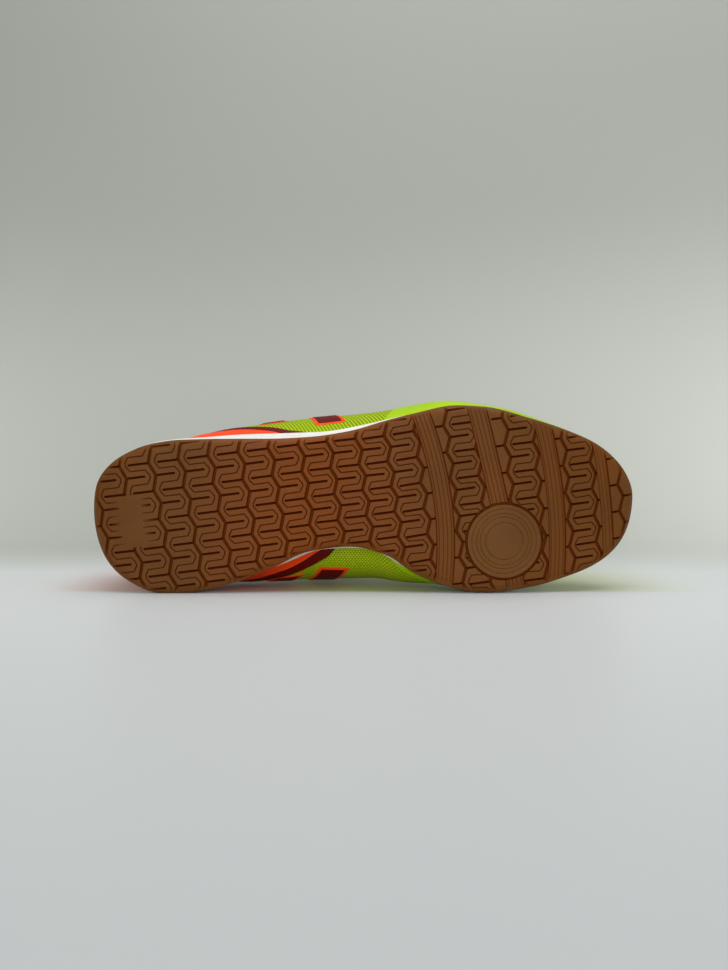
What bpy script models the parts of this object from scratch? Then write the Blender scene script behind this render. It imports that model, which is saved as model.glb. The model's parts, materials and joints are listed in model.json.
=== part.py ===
"""Indoor soccer shoe for the right foot, lying on its inner side with its sole upright.

Lengths are in metres. The shoe is drawn standing: heel at x = 0, toe towards +x, inner side towards +y, and
sole down.
One empty then carries every piece and turns the shoe onto the side that it rests on.
"""

import math

import bmesh
import bpy
import numpy as np
from mathutils import Matrix, Vector
from mathutils.geometry import delaunay_2d_cdt

# Driving sizes of the whole shoe
LENGTH = 0.288
WIDTH = 0.100
HEIGHT = 0.100
GAP = 0.0003

# Sole
GUM_THICKNESS = 0.0046
GUM_TOE_THICKNESS = 0.0066
STACK_HEIGHT = 0.0175
TOE_SPRING = 0.012
HEEL_BEVEL = 0.003
ARCH_RISE = 0.0015
RIM_RISE = 0.0016
RIM_WIDTH = 0.0022
MIDSOLE_LEDGE = 0.0014
INSOLE_THICKNESS = 0.0030

# Tread
TREAD_DEPTH = 0.0018
CHANNEL_DEPTH = 0.0010
GROOVE_WIDTH = 0.0014
BAR_WIDTH = 0.0012
RIGHT_BAR = 0.0094
LEFT_BAR = 0.0105
ZIGZAG_SWING = 0.0028
DISC_RADIUS = 0.0201
DISC_GROOVE = 0.0014

# Upper and what lies on it
UPPER_WALL = 0.0022
COLLAR_WALL = 0.0055
OVERLAY_THICKNESS = 0.0007
OVERLAY_GAP = 0.0009
TONGUE_THICKNESS = 0.0040
TONGUE_CLEARANCE = 0.0033
TONGUE_REACH = 0.020
EYELET_RADIUS = 0.0020
EYELET_ROWS = 6
LACE_WIDTH = 0.0060
LACE_THICKNESS = 0.0016
LACE_LIFT = 0.0009

# Where the two curves of the sole's side start, as shares of the length
HEEL_BEVEL_END = 0.10
ARCH_START = 0.34
ARCH_END = 0.58
SPRING_START = 0.72

# Where the throat closes and where the collar begins, as shares of the length
THROAT_FRONT = 0.665
THROAT_TOP = 0.415

# Sole outline: share of the length, inner and outer edge as shares of the width
OUTLINE_COLUMNS = ("along", "inner", "outer")
OUTLINE = (
    (0.000, 0.010, 0.010),
    (0.0056, 0.150, -0.124),
    (0.028, 0.290, -0.226),
    (0.062, 0.376, -0.296),
    (0.118, 0.441, -0.353),
    (0.162, 0.444, -0.368),
    (0.254, 0.390, -0.372),
    (0.325, 0.314, -0.371),
    (0.398, 0.222, -0.379),
    (0.472, 0.201, -0.409),
    (0.539, 0.247, -0.463),
    (0.590, 0.344, -0.500),
    (0.666, 0.427, -0.541),
    (0.716, 0.448, -0.538),
    (0.800, 0.425, -0.486),
    (0.868, 0.376, -0.425),
    (0.924, 0.317, -0.353),
    (0.968, 0.226, -0.247),
    (0.990, 0.124, -0.150),
    (1.000, -0.043, -0.043),
)

# Height of the midsole's top over the tread: share of the length, share of the stack height
STACK_COLUMNS = ("along", "height")
STACK = (
    (0.00, 0.96),
    (0.10, 1.00),
    (0.25, 1.00),
    (0.40, 0.91),
    (0.50, 0.78),
    (0.62, 0.70),
    (0.72, 0.66),
    (0.85, 0.58),
    (1.00, 0.50),
)

# Upper sections. Widths are shares of the width, heights are shares of the height. The base stands on the
# midsole, the low and high columns are the handles of the wall's curve, and the top is the throat, the collar
# or the ridge.
SECTION_COLUMNS = (
    "along",
    "base_inner", "base_outer",
    "low_inner", "low_outer",
    "high_inner", "high_outer",
    "top_inner", "top_outer",
    "low_height", "high_height", "top_height",
)  # fmt: skip
SECTIONS = (
    (0.000, 0.010, 0.010, 0.010, 0.010, 0.010, 0.010, 0.010, 0.010, 0.34, 0.56, 0.760),
    (0.020, 0.225, -0.185, 0.215, -0.190, 0.180, -0.160, 0.130, -0.115, 0.34, 0.56, 0.755),
    (0.060, 0.345, -0.275, 0.345, -0.290, 0.300, -0.262, 0.205, -0.195, 0.34, 0.54, 0.725),
    (0.120, 0.410, -0.328, 0.425, -0.345, 0.375, -0.325, 0.255, -0.250, 0.34, 0.51, 0.670),
    (0.200, 0.400, -0.348, 0.450, -0.412, 0.425, -0.405, 0.275, -0.275, 0.33, 0.49, 0.625),
    (0.280, 0.355, -0.360, 0.490, -0.468, 0.480, -0.450, 0.275, -0.275, 0.31, 0.52, 0.665),
    (0.350, 0.290, -0.370, 0.500, -0.510, 0.530, -0.485, 0.245, -0.255, 0.29, 0.58, 0.780),
    (0.420, 0.225, -0.385, 0.520, -0.540, 0.550, -0.500, 0.170, -0.200, 0.28, 0.65, 0.905),
    (0.500, 0.225, -0.420, 0.540, -0.570, 0.540, -0.515, 0.135, -0.170, 0.27, 0.66, 0.830),
    (0.580, 0.315, -0.485, 0.550, -0.605, 0.490, -0.520, 0.105, -0.140, 0.26, 0.62, 0.735),
    (0.645, 0.390, -0.515, 0.520, -0.650, 0.440, -0.490, 0.060, -0.095, 0.25, 0.58, 0.655),
    (0.665, 0.405, -0.520, 0.515, -0.655, 0.420, -0.475, -0.018, -0.018, 0.25, 0.58, 0.635),
    (0.750, 0.420, -0.500, 0.510, -0.625, 0.330, -0.400, -0.025, -0.025, 0.25, 0.54, 0.555),
    (0.850, 0.368, -0.425, 0.440, -0.515, 0.260, -0.320, -0.035, -0.035, 0.25, 0.475, 0.485),
    (0.920, 0.300, -0.340, 0.365, -0.415, 0.200, -0.250, -0.040, -0.040, 0.27, 0.430, 0.435),
    (0.970, 0.205, -0.230, 0.250, -0.285, 0.130, -0.180, -0.043, -0.043, 0.28, 0.380, 0.380),
    (1.000, -0.043, -0.043, -0.043, -0.043, -0.043, -0.043, -0.043, -0.043, 0.24, 0.280, 0.300),
)

# Back of the heel and front of the toe: share of the wall's height, shares of the length
END_COLUMNS = ("up", "heel", "toe")
ENDS = (
    (0.00, 0.016, 0.986),
    (0.35, 0.004, 0.988),
    (0.70, 0.014, 0.986),
    (1.00, 0.034, 0.982),
)

# Tread columns: number of the column, place of its first corner along and across, the step to the next corner
TREAD_TABLE_COLUMNS = ("number", "along", "across", "step_along", "step_across")
TREAD_TABLE = (
    (-4, 0.0050, -0.1370, 0.0082, 0.1490),
    (0, 0.2224, -0.2120, 0.0085, 0.1460),
    (3, 0.3873, -0.2710, 0.0065, 0.1410),
    (6, 0.5467, -0.3200, 0.0062, 0.1325),
    (8, 0.6549, -0.3710, 0.0060, 0.1386),
    (11, 0.8144, -0.4270, 0.0047, 0.1450),
    (13, 0.9170, -0.4570, 0.0047, 0.1424),
    (15, 1.0167, -0.4940, 0.0047, 0.1424),
)
TREAD_ROWS = range(-2, 7)
TREAD_LEFT_CORNER = 0.545
COLUMNS_BEFORE_CHANNEL = (7, 9, 11, 13)
COLUMNS_AFTER_CHANNEL = (8, 10, 12, 14)

# Flex channels: place along at the outer edge, middle and inner edge, and width, all as shares of the length
CHANNEL_ACROSS = (-0.50, 0.0, 0.40)
CHANNEL_REACH = (-0.66, 0.56)
CHANNELS = (
    (0.606, 0.649, 0.649, 0.0323),
    (0.711, 0.7535, 0.781, 0.0320),
    (0.822, 0.856, 0.857, 0.0325),
    (0.919, 0.951, 0.957, 0.0210),
)
DISC_CENTRE = (0.757, 0.177)

# Bare pad under the heel, corners as shares of the length and the width
HEEL_PAD = ((0.040, -0.075), (0.092, -0.098), (0.104, 0.214), (0.052, 0.240))

# Overlays: share of the length, upper edge or width as a share of the wall, on the inner and outer side
COUNTER_INNER = ((0.00, 0.78), (0.08, 0.70), (0.18, 0.46), (0.27, 0.27), (0.36, 0.15), (0.40, 0.09))
COUNTER_OUTER = ((0.00, 0.78), (0.08, 0.68), (0.18, 0.42), (0.25, 0.25), (0.30, 0.13), (0.33, 0.06))
BAND_INNER = ((0.00, 0.20), (0.10, 0.20), (0.24, 0.20), (0.36, 0.18), (0.40, 0.14), (0.43, 0.08))
BAND_OUTER = ((0.00, 0.20), (0.10, 0.20), (0.20, 0.20), (0.28, 0.18), (0.33, 0.17), (0.37, 0.08))
TOE_GUARD_INNER = ((0.55, 0.10), (0.62, 0.26), (0.72, 0.33), (0.84, 0.42), (0.93, 0.60), (1.00, 0.80))
TOE_GUARD_OUTER = ((0.56, 0.12), (0.62, 0.30), (0.72, 0.38), (0.84, 0.46), (0.93, 0.62), (1.00, 0.80))
EYESTAY_FRONT = 0.695
EYESTAY_FOOT = 0.84
EYELET_UP = 0.925
EYELET_FIRST = 0.435
EYELET_LAST = 0.635

# Where the overlays start over the midsole and how the heel band follows the counter, shares of the wall
OVERLAY_FOOT = 0.04
BAND_FOOT = 0.008
BAND_STEP = 0.012

# Padding of the collar: how far down it reaches as a share of the height, and how soon it ends lengthwise
COLLAR_DEPTH = 0.28
COLLAR_FADE = 0.07

# Tongue: place along and up at both ends, crown, direction of the tip, and the tip's width along its reach
TONGUE_FRONT = (0.72, 0.80)
TONGUE_BACK = (0.44, 0.95)
TONGUE_CROWN = 0.30
TONGUE_TIP_WAY = (-0.40, 0.0, 0.92)
TONGUE_TIP = ((0.35, 0.80), (0.65, 0.75), (0.88, 0.56), (1.00, 0.42))

# How far each lace arches over the tongue, as a share of the run from its hole to the throat's edge
LACE_ARCH = 2.3

# How finely the pieces are divided
SOLE_STEPS = 28
UPPER_STEPS = 34
WALL_STEPS = 8
COUNTER_ROWS = 6
TOE_GUARD_ROWS = 4
BAND_ROWS = 3
EYESTAY_ROWS = 2
TONGUE_STEPS = 8
LACE_STEPS = 7
LACE_SIDES = 6
EYELET_SIDES = 6
DISC_SIDES = 22
CHANNEL_STEPS = 5
HEEL_STRIPS = 2
ARCH_STRIPS = 3
TOE_STRIPS = 5

# Small steps of the geometry: shares, metres, and millimetres in the tread's plan
SLOPE_STEP = 0.01
SHARE_STEP = 0.006
MERGE_DISTANCE = 5e-5
PLAN_MERGE = 1e-4
PLAN_NEAR = 1e-2
FLAT_ROOM = 1e-9

# How much of a groove's depth is left at the rim, and how squarely the side that is laid down faces sideways
RIM_GROOVE = 0.3
INNER_SIDE_DOWN = 0.8

# Colours and finish of each piece: red, green, blue, roughness
FINISHES = {
    "outsole": (0.110, 0.046, 0.016, 0.50),
    "midsole": (0.800, 0.790, 0.750, 0.60),
    "insole": (0.150, 0.150, 0.160, 0.90),
    "upper": (0.330, 0.470, 0.040, 0.80),
    "tongue": (0.330, 0.470, 0.040, 0.85),
    "toe_guard": (0.560, 0.740, 0.030, 0.35),
    "heel_counter": (0.780, 0.130, 0.020, 0.45),
    "heel_band": (0.120, 0.006, 0.010, 0.45),
    "eyestay": (0.560, 0.740, 0.030, 0.40),
    "lace": (0.800, 0.150, 0.030, 0.90),
}


def angle_of(share):
    """Where a share of the length lies on a half turn, so that both ends of the shoe come out round."""
    return math.acos(1.0 - 2.0 * min(max(share, 0.0), 1.0))


def curve_through(places, values):
    """A smooth curve through the values that never swings past them."""
    steps = np.diff(places)
    slopes = np.diff(values) / steps
    tangents = np.zeros(len(values))
    tangents[0] = slopes[0]
    tangents[-1] = slopes[-1]
    for k in range(1, len(values) - 1):
        if slopes[k - 1] * slopes[k] > 0.0:
            before = 2.0 * steps[k] + steps[k - 1]
            after = steps[k] + 2.0 * steps[k - 1]
            tangents[k] = (before + after) / (before / slopes[k - 1] + after / slopes[k])

    def value(place):
        k = int(np.clip(np.searchsorted(places, place) - 1, 0, len(steps) - 1))
        t = (place - places[k]) / steps[k]
        start = (1.0 + 2.0 * t) * (1.0 - t) ** 2 * values[k] + t * (1.0 - t) ** 2 * steps[k] * tangents[k]
        end = t * t * (3.0 - 2.0 * t) * values[k + 1] + t * t * (t - 1.0) * steps[k] * tangents[k + 1]
        return start + end

    return value


def table_curves(table, columns):
    """One curve for each named column of a table whose first column is a share of the length."""
    places = np.array([angle_of(row[0]) for row in table])
    curves = {}
    for number, name in enumerate(columns[1:], start=1):
        curves[name] = curve_through(places, np.array([row[number] for row in table]))
    return curves


def plain_curve(pairs):
    """A smooth curve through pairs of place and value."""
    return curve_through(np.array([p[0] for p in pairs]), np.array([p[1] for p in pairs]))


OUTLINE_CURVES = table_curves(OUTLINE, OUTLINE_COLUMNS)
STACK_CURVES = table_curves(STACK, STACK_COLUMNS)
SECTION_CURVES = table_curves(SECTIONS, SECTION_COLUMNS)
HEEL_CURVE = plain_curve([(row[0], row[END_COLUMNS.index("heel")]) for row in ENDS])
TOE_CURVE = plain_curve([(row[0], row[END_COLUMNS.index("toe")]) for row in ENDS])


def tread_height(x):
    """Height of the sole's underside: bevelled heel, flat tread, slight arch, toe spring."""
    share = x / LENGTH
    if share < HEEL_BEVEL_END:
        return HEEL_BEVEL * ((HEEL_BEVEL_END - share) / HEEL_BEVEL_END) ** 2
    if share > SPRING_START:
        return TOE_SPRING * ((share - SPRING_START) / (1.0 - SPRING_START)) ** 2
    if ARCH_START < share < ARCH_END:
        return ARCH_RISE * math.sin(math.pi * (share - ARCH_START) / (ARCH_END - ARCH_START)) ** 2
    return 0.0


def gum_top(x):
    """Height of the outsole's upper face."""
    share = min(max((x / LENGTH - SPRING_START) / (1.0 - SPRING_START), 0.0), 1.0)
    return tread_height(x) + GUM_THICKNESS + (GUM_TOE_THICKNESS - GUM_THICKNESS) * share * share


def midsole_top(x):
    """Height of the face that the upper and the insole stand on."""
    angle = angle_of(x / LENGTH)
    return tread_height(x) + STACK_HEIGHT * STACK_CURVES["height"](angle)


def section_shares(count):
    """Shares of the length, close together at the heel and the toe."""
    return [(1.0 - math.cos(math.pi * k / count)) / 2.0 for k in range(count + 1)]


def closed_loop(curves, inner, outer, start, end, count):
    """Points of an outline, from the heel along the inner edge to the toe and back along the outer edge."""
    shares = section_shares(count)
    inner_side = [(start + (end - start) * s, WIDTH * curves[inner](angle_of(s))) for s in shares]
    outer_side = [(start + (end - start) * s, WIDTH * curves[outer](angle_of(s))) for s in shares]
    return inner_side + outer_side[-2:0:-1]


def offset_loop(loop, distance):
    """The loop moved outwards by a distance, or inwards where the distance is negative."""
    moved = []
    count = len(loop)
    for k, point in enumerate(loop):
        before = Vector(loop[k - 1])
        after = Vector(loop[(k + 1) % count])
        along = (after - before).normalized()
        moved.append((point[0] - along.y * distance, point[1] + along.x * distance))
    return moved


def sole_loop(distance=0.0):
    """The outsole's outline, grown by a distance."""
    return offset_loop(closed_loop(OUTLINE_CURVES, "inner", "outer", 0.0, LENGTH, SOLE_STEPS), distance)


def base_loop(distance=0.0):
    """The line where the upper stands on the midsole, grown by a distance."""
    start = LENGTH * HEEL_CURVE(0.0)
    end = LENGTH * TOE_CURVE(0.0)
    loop = closed_loop(SECTION_CURVES, "base_inner", "base_outer", start, end, SOLE_STEPS)
    return offset_loop(loop, distance)


def new_object(name, bm, finish=None, smooth=True, closed=True):
    """Makes an object of a bmesh, with its own material."""
    if closed:
        bmesh.ops.recalc_face_normals(bm, faces=bm.faces)
    mesh = bpy.data.meshes.new(name)
    bm.to_mesh(mesh)
    bm.free()
    obj = bpy.data.objects.new(name, mesh)
    SHOE.objects.link(obj)
    red, green, blue, roughness = FINISHES[finish or name]
    material = bpy.data.materials.new(name)
    material.use_nodes = True
    shader = material.node_tree.nodes["Principled BSDF"]
    shader.inputs["Base Color"].default_value = (red, green, blue, 1.0)
    shader.inputs["Roughness"].default_value = roughness
    mesh.materials.append(material)
    if smooth:
        mesh.shade_smooth()
        mesh.set_sharp_from_angle(angle=math.radians(40.0))
    return obj


def loft_loops(name, loops):
    """A closed solid between loops of equal count, closed at both ends by faces that run straight across."""
    bm = bmesh.new()
    rings = [[bm.verts.new(point) for point in loop] for loop in loops]
    count = len(rings[0])
    for low, high in zip(rings, rings[1:]):
        for k in range(count):
            after = (k + 1) % count
            bm.faces.new((low[k], low[after], high[after], high[k]))
    half = count // 2
    for ring in (rings[0], rings[-1]):
        for k in range(half):
            corners = [ring[k], ring[k + 1], ring[-k - 1], ring[-k % count]]
            unique = list(dict.fromkeys(corners))
            bm.faces.new(unique)
    return new_object(name, bm)


def raised(loop, height):
    """The loop in space, each point at the height that belongs to its place along the shoe."""
    return [(x, y, height(x)) for x, y in loop]


def ribbon(points, width):
    """Outline of a strip of even width along a line of points."""
    left = []
    right = []
    for k, point in enumerate(points):
        before = points[max(k - 1, 0)]
        after = points[min(k + 1, len(points) - 1)]
        first = (point - before).normalized() if k else (after - point).normalized()
        second = (after - point).normalized() if k < len(points) - 1 else first
        middle = (first + second).normalized()
        across = Vector((-middle.y, middle.x))
        reach = width / 2.0 / max(0.5, middle.dot(first))
        left.append(point + across * reach)
        right.append(point - across * reach)
    return left + right[::-1]


def circle(centre, radius, sides):
    """Points of a circle."""
    turn = 2.0 * math.pi / sides
    return [centre + Vector((math.cos(turn * k), math.sin(turn * k))) * radius for k in range(sides)]


def tread_value(number, name):
    """A column's value, read between the rows of the tread table."""
    numbers = [row[0] for row in TREAD_TABLE]
    values = [row[TREAD_TABLE_COLUMNS.index(name)] for row in TREAD_TABLE]
    return float(np.interp(number, numbers, values))


def tread_corner(number, row):
    """A right-hand corner of a zigzag groove."""
    x = LENGTH * (tread_value(number, "along") + row * tread_value(number, "step_along"))
    y = WIDTH * (tread_value(number, "across") + row * tread_value(number, "step_across"))
    return Vector((x, y))


def row_direction(number):
    """The direction of the bars beside a column."""
    return (tread_corner(number + 1, 0) - tread_corner(number - 1, 0)).normalized()


def tread_left_corner(number, row):
    """A left-hand corner of a zigzag groove, between two right-hand ones."""
    corner = tread_corner(number, row)
    middle = corner.lerp(tread_corner(number, row + 1), TREAD_LEFT_CORNER)
    return middle - row_direction(number) * ZIGZAG_SWING


def inside(outline, point):
    """Whether a point of the plan lies inside an outline."""
    crossings = 0
    for start, end in zip(outline, outline[1:] + outline[:1]):
        if (start[1] > point[1]) != (end[1] > point[1]):
            share = (point[1] - start[1]) / (end[1] - start[1])
            crossings += point[0] < start[0] + (end[0] - start[0]) * share
    return crossings % 2 == 1


def groove_outlines(land):
    """Outlines of the zigzag grooves and the bars that branch off them, as far as they reach the land."""
    numbers = range(int(TREAD_TABLE[0][0]), int(TREAD_TABLE[-1][0]))
    zigzags = []
    bars = []
    for number in numbers:
        direction = row_direction(number)
        zigzag = []
        for row in TREAD_ROWS:
            right = tread_corner(number, row)
            left = tread_left_corner(number, row)
            zigzag += [right, left]
            if number not in COLUMNS_BEFORE_CHANNEL:
                bars.append([right, right + direction * RIGHT_BAR])
            if number not in COLUMNS_AFTER_CHANNEL:
                bars.append([left, left - direction * LEFT_BAR])
        reaching = [k for k, corner in enumerate(zigzag) if inside(land, corner)]
        if reaching:
            zigzags.append(zigzag[max(reaching[0] - 1, 0):reaching[-1] + 2])
    outlines = [ribbon(line, GROOVE_WIDTH) for line in zigzags]
    outlines += [ribbon(bar, BAR_WIDTH) for bar in bars if any(inside(land, end) for end in bar)]
    return outlines


def channel_outlines():
    """Outlines of the smooth flex channels across the forefoot."""
    outlines = []
    for outer, middle, inner, width in CHANNELS:
        bend = np.polyfit(CHANNEL_ACROSS, (outer, middle, inner), 2)
        across = np.linspace(*CHANNEL_REACH, CHANNEL_STEPS)
        line = [Vector((LENGTH * np.polyval(bend, y), WIDTH * y)) for y in across]
        outlines.append(ribbon(line, width * LENGTH))
    return outlines


def strip_lines():
    """Places along the shoe where the underside bends, between which it is flat."""
    bends = list(np.linspace(0.0, HEEL_BEVEL_END, HEEL_STRIPS + 1)[1:])
    bends += list(np.linspace(ARCH_START, ARCH_END, ARCH_STRIPS + 1))
    bends += list(np.linspace(SPRING_START, 1.0, TOE_STRIPS + 1)[:-1])
    return [LENGTH * share for share in bends]


def anticlockwise(outline):
    """The outline's points in anticlockwise order."""
    area = sum(outline[k - 1].cross(point) for k, point in enumerate(outline))
    return outline if area > 0.0 else outline[::-1]


class TreadPlan:
    """The flat plan of the tread: triangles, each with the depth at which it lies."""

    def __init__(self):
        self.rim = sole_loop()
        land = offset_loop(self.rim, -RIM_WIDTH)
        centre = Vector((DISC_CENTRE[0] * LENGTH, DISC_CENTRE[1] * WIDTH))
        pad = [(x * LENGTH, y * WIDTH) for x, y in HEEL_PAD]
        shapes = [
            ("rim", self.rim),
            ("land", land),
            ("pad", pad),
            ("disc", circle(centre, DISC_RADIUS + DISC_GROOVE / 2.0, DISC_SIDES)),
            ("core", circle(centre, DISC_RADIUS - DISC_GROOVE / 2.0, DISC_SIDES)),
        ]
        shapes += [("channel", outline) for outline in channel_outlines()]
        shapes += [("groove", outline) for outline in groove_outlines(land)]
        self.solve(shapes)

    def solve(self, shapes):
        """Cuts all outlines with each other and gives each triangle its depth."""
        points = []
        faces = []
        for _, outline in shapes:
            faces.append(list(range(len(points), len(points) + len(outline))))
            points += anticlockwise([Vector((p[0], p[1])) * 1000.0 for p in outline])
        edges = []
        for x in strip_lines():
            points += [Vector((x * 1000.0, -WIDTH * 1000.0)), Vector((x * 1000.0, WIDTH * 1000.0))]
            edges.append((len(points) - 2, len(points) - 1))
        cut = delaunay_2d_cdt(points, edges, faces, 1, PLAN_MERGE)
        self.points = [point / 1000.0 for point in cut[0]]
        self.triangles = []
        self.depths = []
        for corners, sources in zip(cut[2], cut[5]):
            names = {shapes[source][0] for source in sources}
            if "rim" in names:
                self.triangles.append(tuple(corners))
                self.depths.append(self.depth_of(names))

    @staticmethod
    def depth_of(names):
        """How deep a triangle lies below the tread, by the shapes that it is in."""
        if "land" not in names or "pad" in names:
            return 0.0
        if "disc" in names:
            return 0.0 if "core" in names else TREAD_DEPTH
        if "channel" in names:
            return CHANNEL_DEPTH
        return TREAD_DEPTH if "groove" in names else 0.0

    def rim_rise(self, point):
        """How far the rounded rim lifts the tread at a point."""
        nearest = RIM_WIDTH
        for k, corner in enumerate(self.rim):
            start = Vector(self.rim[k - 1])
            along = Vector(corner) - start
            t = min(max((point - start).dot(along) / along.length_squared, 0.0), 1.0)
            nearest = min(nearest, (point - start - along * t).length)
        return RIM_RISE * (1.0 - nearest / RIM_WIDTH) ** 2


def make_outsole():
    """Gum outsole: the tread plan bent to the sole's side view, its edge wall and its upper face."""
    plan = TreadPlan()
    bm = bmesh.new()
    rises = [plan.rim_rise(point) for point in plan.points]
    levels = [set() for _ in plan.points]
    for corners, depth in zip(plan.triangles, plan.depths):
        for corner in corners:
            levels[corner].add(depth)

    verts = {}
    for index, depths in enumerate(levels):
        point = plan.points[index]
        for depth in depths:
            floor = max(depth, rises[index] + depth * RIM_GROOVE)
            verts[index, depth] = bm.verts.new((point.x, point.y, tread_height(point.x) + floor))

    sides = {}
    for corners, depth in zip(plan.triangles, plan.depths):
        bm.faces.new([verts[corner, depth] for corner in reversed(corners)])
        for k in range(3):
            owner = (corners[k], corners[k - 1], depth)
            sides.setdefault(frozenset(owner[:2]), []).append(owner)

    edge_wall = []
    for owners in sides.values():
        start, end, depth = owners[0]
        if len(owners) == 1:
            edge_wall.append((start, end))
        elif owners[1][2] != depth:
            other = owners[1][2]
            low, high = min(depth, other), max(depth, other)
            first = sorted(level for level in levels[start] if low <= level <= high)
            second = sorted((level for level in levels[end] if low <= level <= high), reverse=True)
            bm.faces.new([verts[start, level] for level in first] + [verts[end, level] for level in second])

    loop = {}
    tops = {}
    for start, end in edge_wall:
        for index in (start, end):
            if index not in tops:
                point = plan.points[index]
                tops[index] = bm.verts.new((point.x, point.y, gum_top(point.x)))
        bm.faces.new((verts[start, 0.0], verts[end, 0.0], tops[end], tops[start]))
        loop[start] = end
    close_top(bm, loop, tops)
    return new_object("outsole", bm, smooth=False)


def close_top(bm, loop, tops):
    """The outsole's upper face, flat between the same bends as the tread."""
    order = [next(iter(loop))]
    while loop[order[-1]] != order[0]:
        order.append(loop[order[-1]])
    plan = [Vector((tops[index].co.x * 1000.0, tops[index].co.y * 1000.0)) for index in order]
    edges = []
    for x in strip_lines():
        crossing = [k for k, point in enumerate(plan) if abs(point.x - x * 1000.0) < PLAN_NEAR]
        if len(crossing) > 1:
            lowest = min(crossing, key=lambda k: plan[k].y)
            highest = max(crossing, key=lambda k: plan[k].y)
            edges.append((lowest, highest))
    face = list(range(len(plan)))
    if anticlockwise(plan) is not plan:
        face.reverse()
    cut = delaunay_2d_cdt(plan, edges, [face], 1, PLAN_MERGE)
    for corners in cut[2]:
        sources = [cut[3][corner][0] for corner in corners]
        bm.faces.new([tops[order[source]] for source in sources])


def make_midsole():
    """Foam midsole between the gum and the upper, with a soft belly in its side."""

    def belly(x):
        return (gum_top(x) + midsole_top(x)) / 2.0

    def foot(x):
        return gum_top(x) + GAP

    bottom = sole_loop(-MIDSOLE_LEDGE)
    top = base_loop(MIDSOLE_LEDGE)
    middle = [((a[0] + b[0]) / 2.0, (a[1] + b[1]) / 2.0) for a, b in zip(bottom, top)]
    full = offset_loop(middle, MIDSOLE_LEDGE)
    return loft_loops("midsole", [raised(bottom, foot), raised(full, belly), raised(top, midsole_top)])


def make_insole():
    """Foam insole that lies inside the upper on the midsole."""
    edge = base_loop(-UPPER_WALL - 2.0 * GAP)

    def underside(x):
        return midsole_top(x) + GAP

    def face(x):
        return midsole_top(x) + GAP + INSOLE_THICKNESS

    return loft_loops("insole", [raised(edge, underside), raised(edge, face)])


def upper_point(share, side, up):
    """A point of the upper's outer face: share of the length, side 1 inner or -1 outer, share of the wall."""
    angle = angle_of(share)
    name = "inner" if side > 0 else "outer"
    heel = HEEL_CURVE(up)
    x = LENGTH * (heel + share * (TOE_CURVE(up) - heel))
    foot = LENGTH * (HEEL_CURVE(0.0) + share * (TOE_CURVE(0.0) - HEEL_CURVE(0.0)))
    ys = [WIDTH * SECTION_CURVES[f"{part}_{name}"](angle) for part in ("base", "low", "high", "top")]
    if share >= THROAT_FRONT:
        ys[3] = WIDTH * (SECTION_CURVES["top_inner"](angle) + SECTION_CURVES["top_outer"](angle)) / 2.0
    zs = [midsole_top(foot) + GAP]
    zs += [HEIGHT * SECTION_CURVES[f"{part}_height"](angle) for part in ("low", "high", "top")]
    weights = ((1.0 - up) ** 3, 3.0 * up * (1.0 - up) ** 2, 3.0 * up * up * (1.0 - up), up**3)
    y = sum(weight * value for weight, value in zip(weights, ys))
    z = sum(weight * value for weight, value in zip(weights, zs))
    return Vector((x, y, z))


def beyond_point(angle, side, up):
    """A point of the upper's outer face that may lie past the heel, the toe or the ridge, across the shoe."""
    if angle < 0.0 or angle > math.pi:
        angle = -angle if angle < 0.0 else 2.0 * math.pi - angle
        side = -side
    share = (1.0 - math.cos(angle)) / 2.0
    if up > 1.0 and share >= THROAT_FRONT:
        up = 2.0 - up
        side = -side
    return upper_point(share, side, min(max(up, 0.0), 1.0))


def upper_normal(share, side, up):
    """The outward direction of the upper at a point."""
    angle = angle_of(share)
    along = beyond_point(angle + SLOPE_STEP, side, up) - beyond_point(angle - SLOPE_STEP, side, up)
    upward = beyond_point(angle, side, up + SLOPE_STEP) - beyond_point(angle, side, up - SLOPE_STEP)
    return upward.cross(along).normalized() * side


def upper_shares():
    """Sections of the upper, with one exactly where the throat closes."""
    shares = section_shares(UPPER_STEPS)
    nearest = min(range(len(shares)), key=lambda k: abs(shares[k] - THROAT_FRONT))
    shares[nearest] = THROAT_FRONT
    return shares


def sheet(shares_of_side, ups_of_share, lift=0.0):
    """An open sheet on the upper: a grid on each side, joined where the two sides meet."""
    bm = bmesh.new()
    for side in (1, -1):
        rows = []
        for share in shares_of_side[side]:
            ups = ups_of_share(side, share)
            row = []
            for up in ups:
                point = upper_point(share, side, up)
                if lift:
                    point = point + upper_normal(share, side, up) * lift
                row.append(bm.verts.new(point))
            rows.append(row)
        for first, second in zip(rows, rows[1:]):
            for k in range(len(first) - 1):
                corners = (first[k], second[k], second[k + 1], first[k + 1])
                bm.faces.new(corners[::-1] if side > 0 else corners)
    bmesh.ops.remove_doubles(bm, verts=bm.verts, dist=MERGE_DISTANCE)
    return bm


def thicken(obj, thickness, inward, group=None):
    """Gives a sheet its wall."""
    wall = obj.modifiers.new("wall", "SOLIDIFY")
    wall.thickness = thickness
    wall.offset = -1.0 if inward else 1.0
    wall.use_even_offset = False
    if group:
        wall.vertex_group = group
    return wall


def make_upper():
    """Knitted upper: one hollow shell, open at the collar, throat and underside, thicker at the collar."""
    shares = upper_shares()
    ups = [k / WALL_STEPS for k in range(WALL_STEPS + 1)]
    bm = sheet({1: shares, -1: shares}, lambda side, share: ups)
    upper = new_object("upper", bm, closed=False)
    group = upper.vertex_groups.new(name="wall")
    for vertex in upper.data.vertices:
        collar = collar_share(vertex.co)
        wall = UPPER_WALL + (COLLAR_WALL - UPPER_WALL) * collar
        group.add([vertex.index], wall / COLLAR_WALL, "REPLACE")
    thicken(upper, COLLAR_WALL, True, group.name)
    return upper


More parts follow.
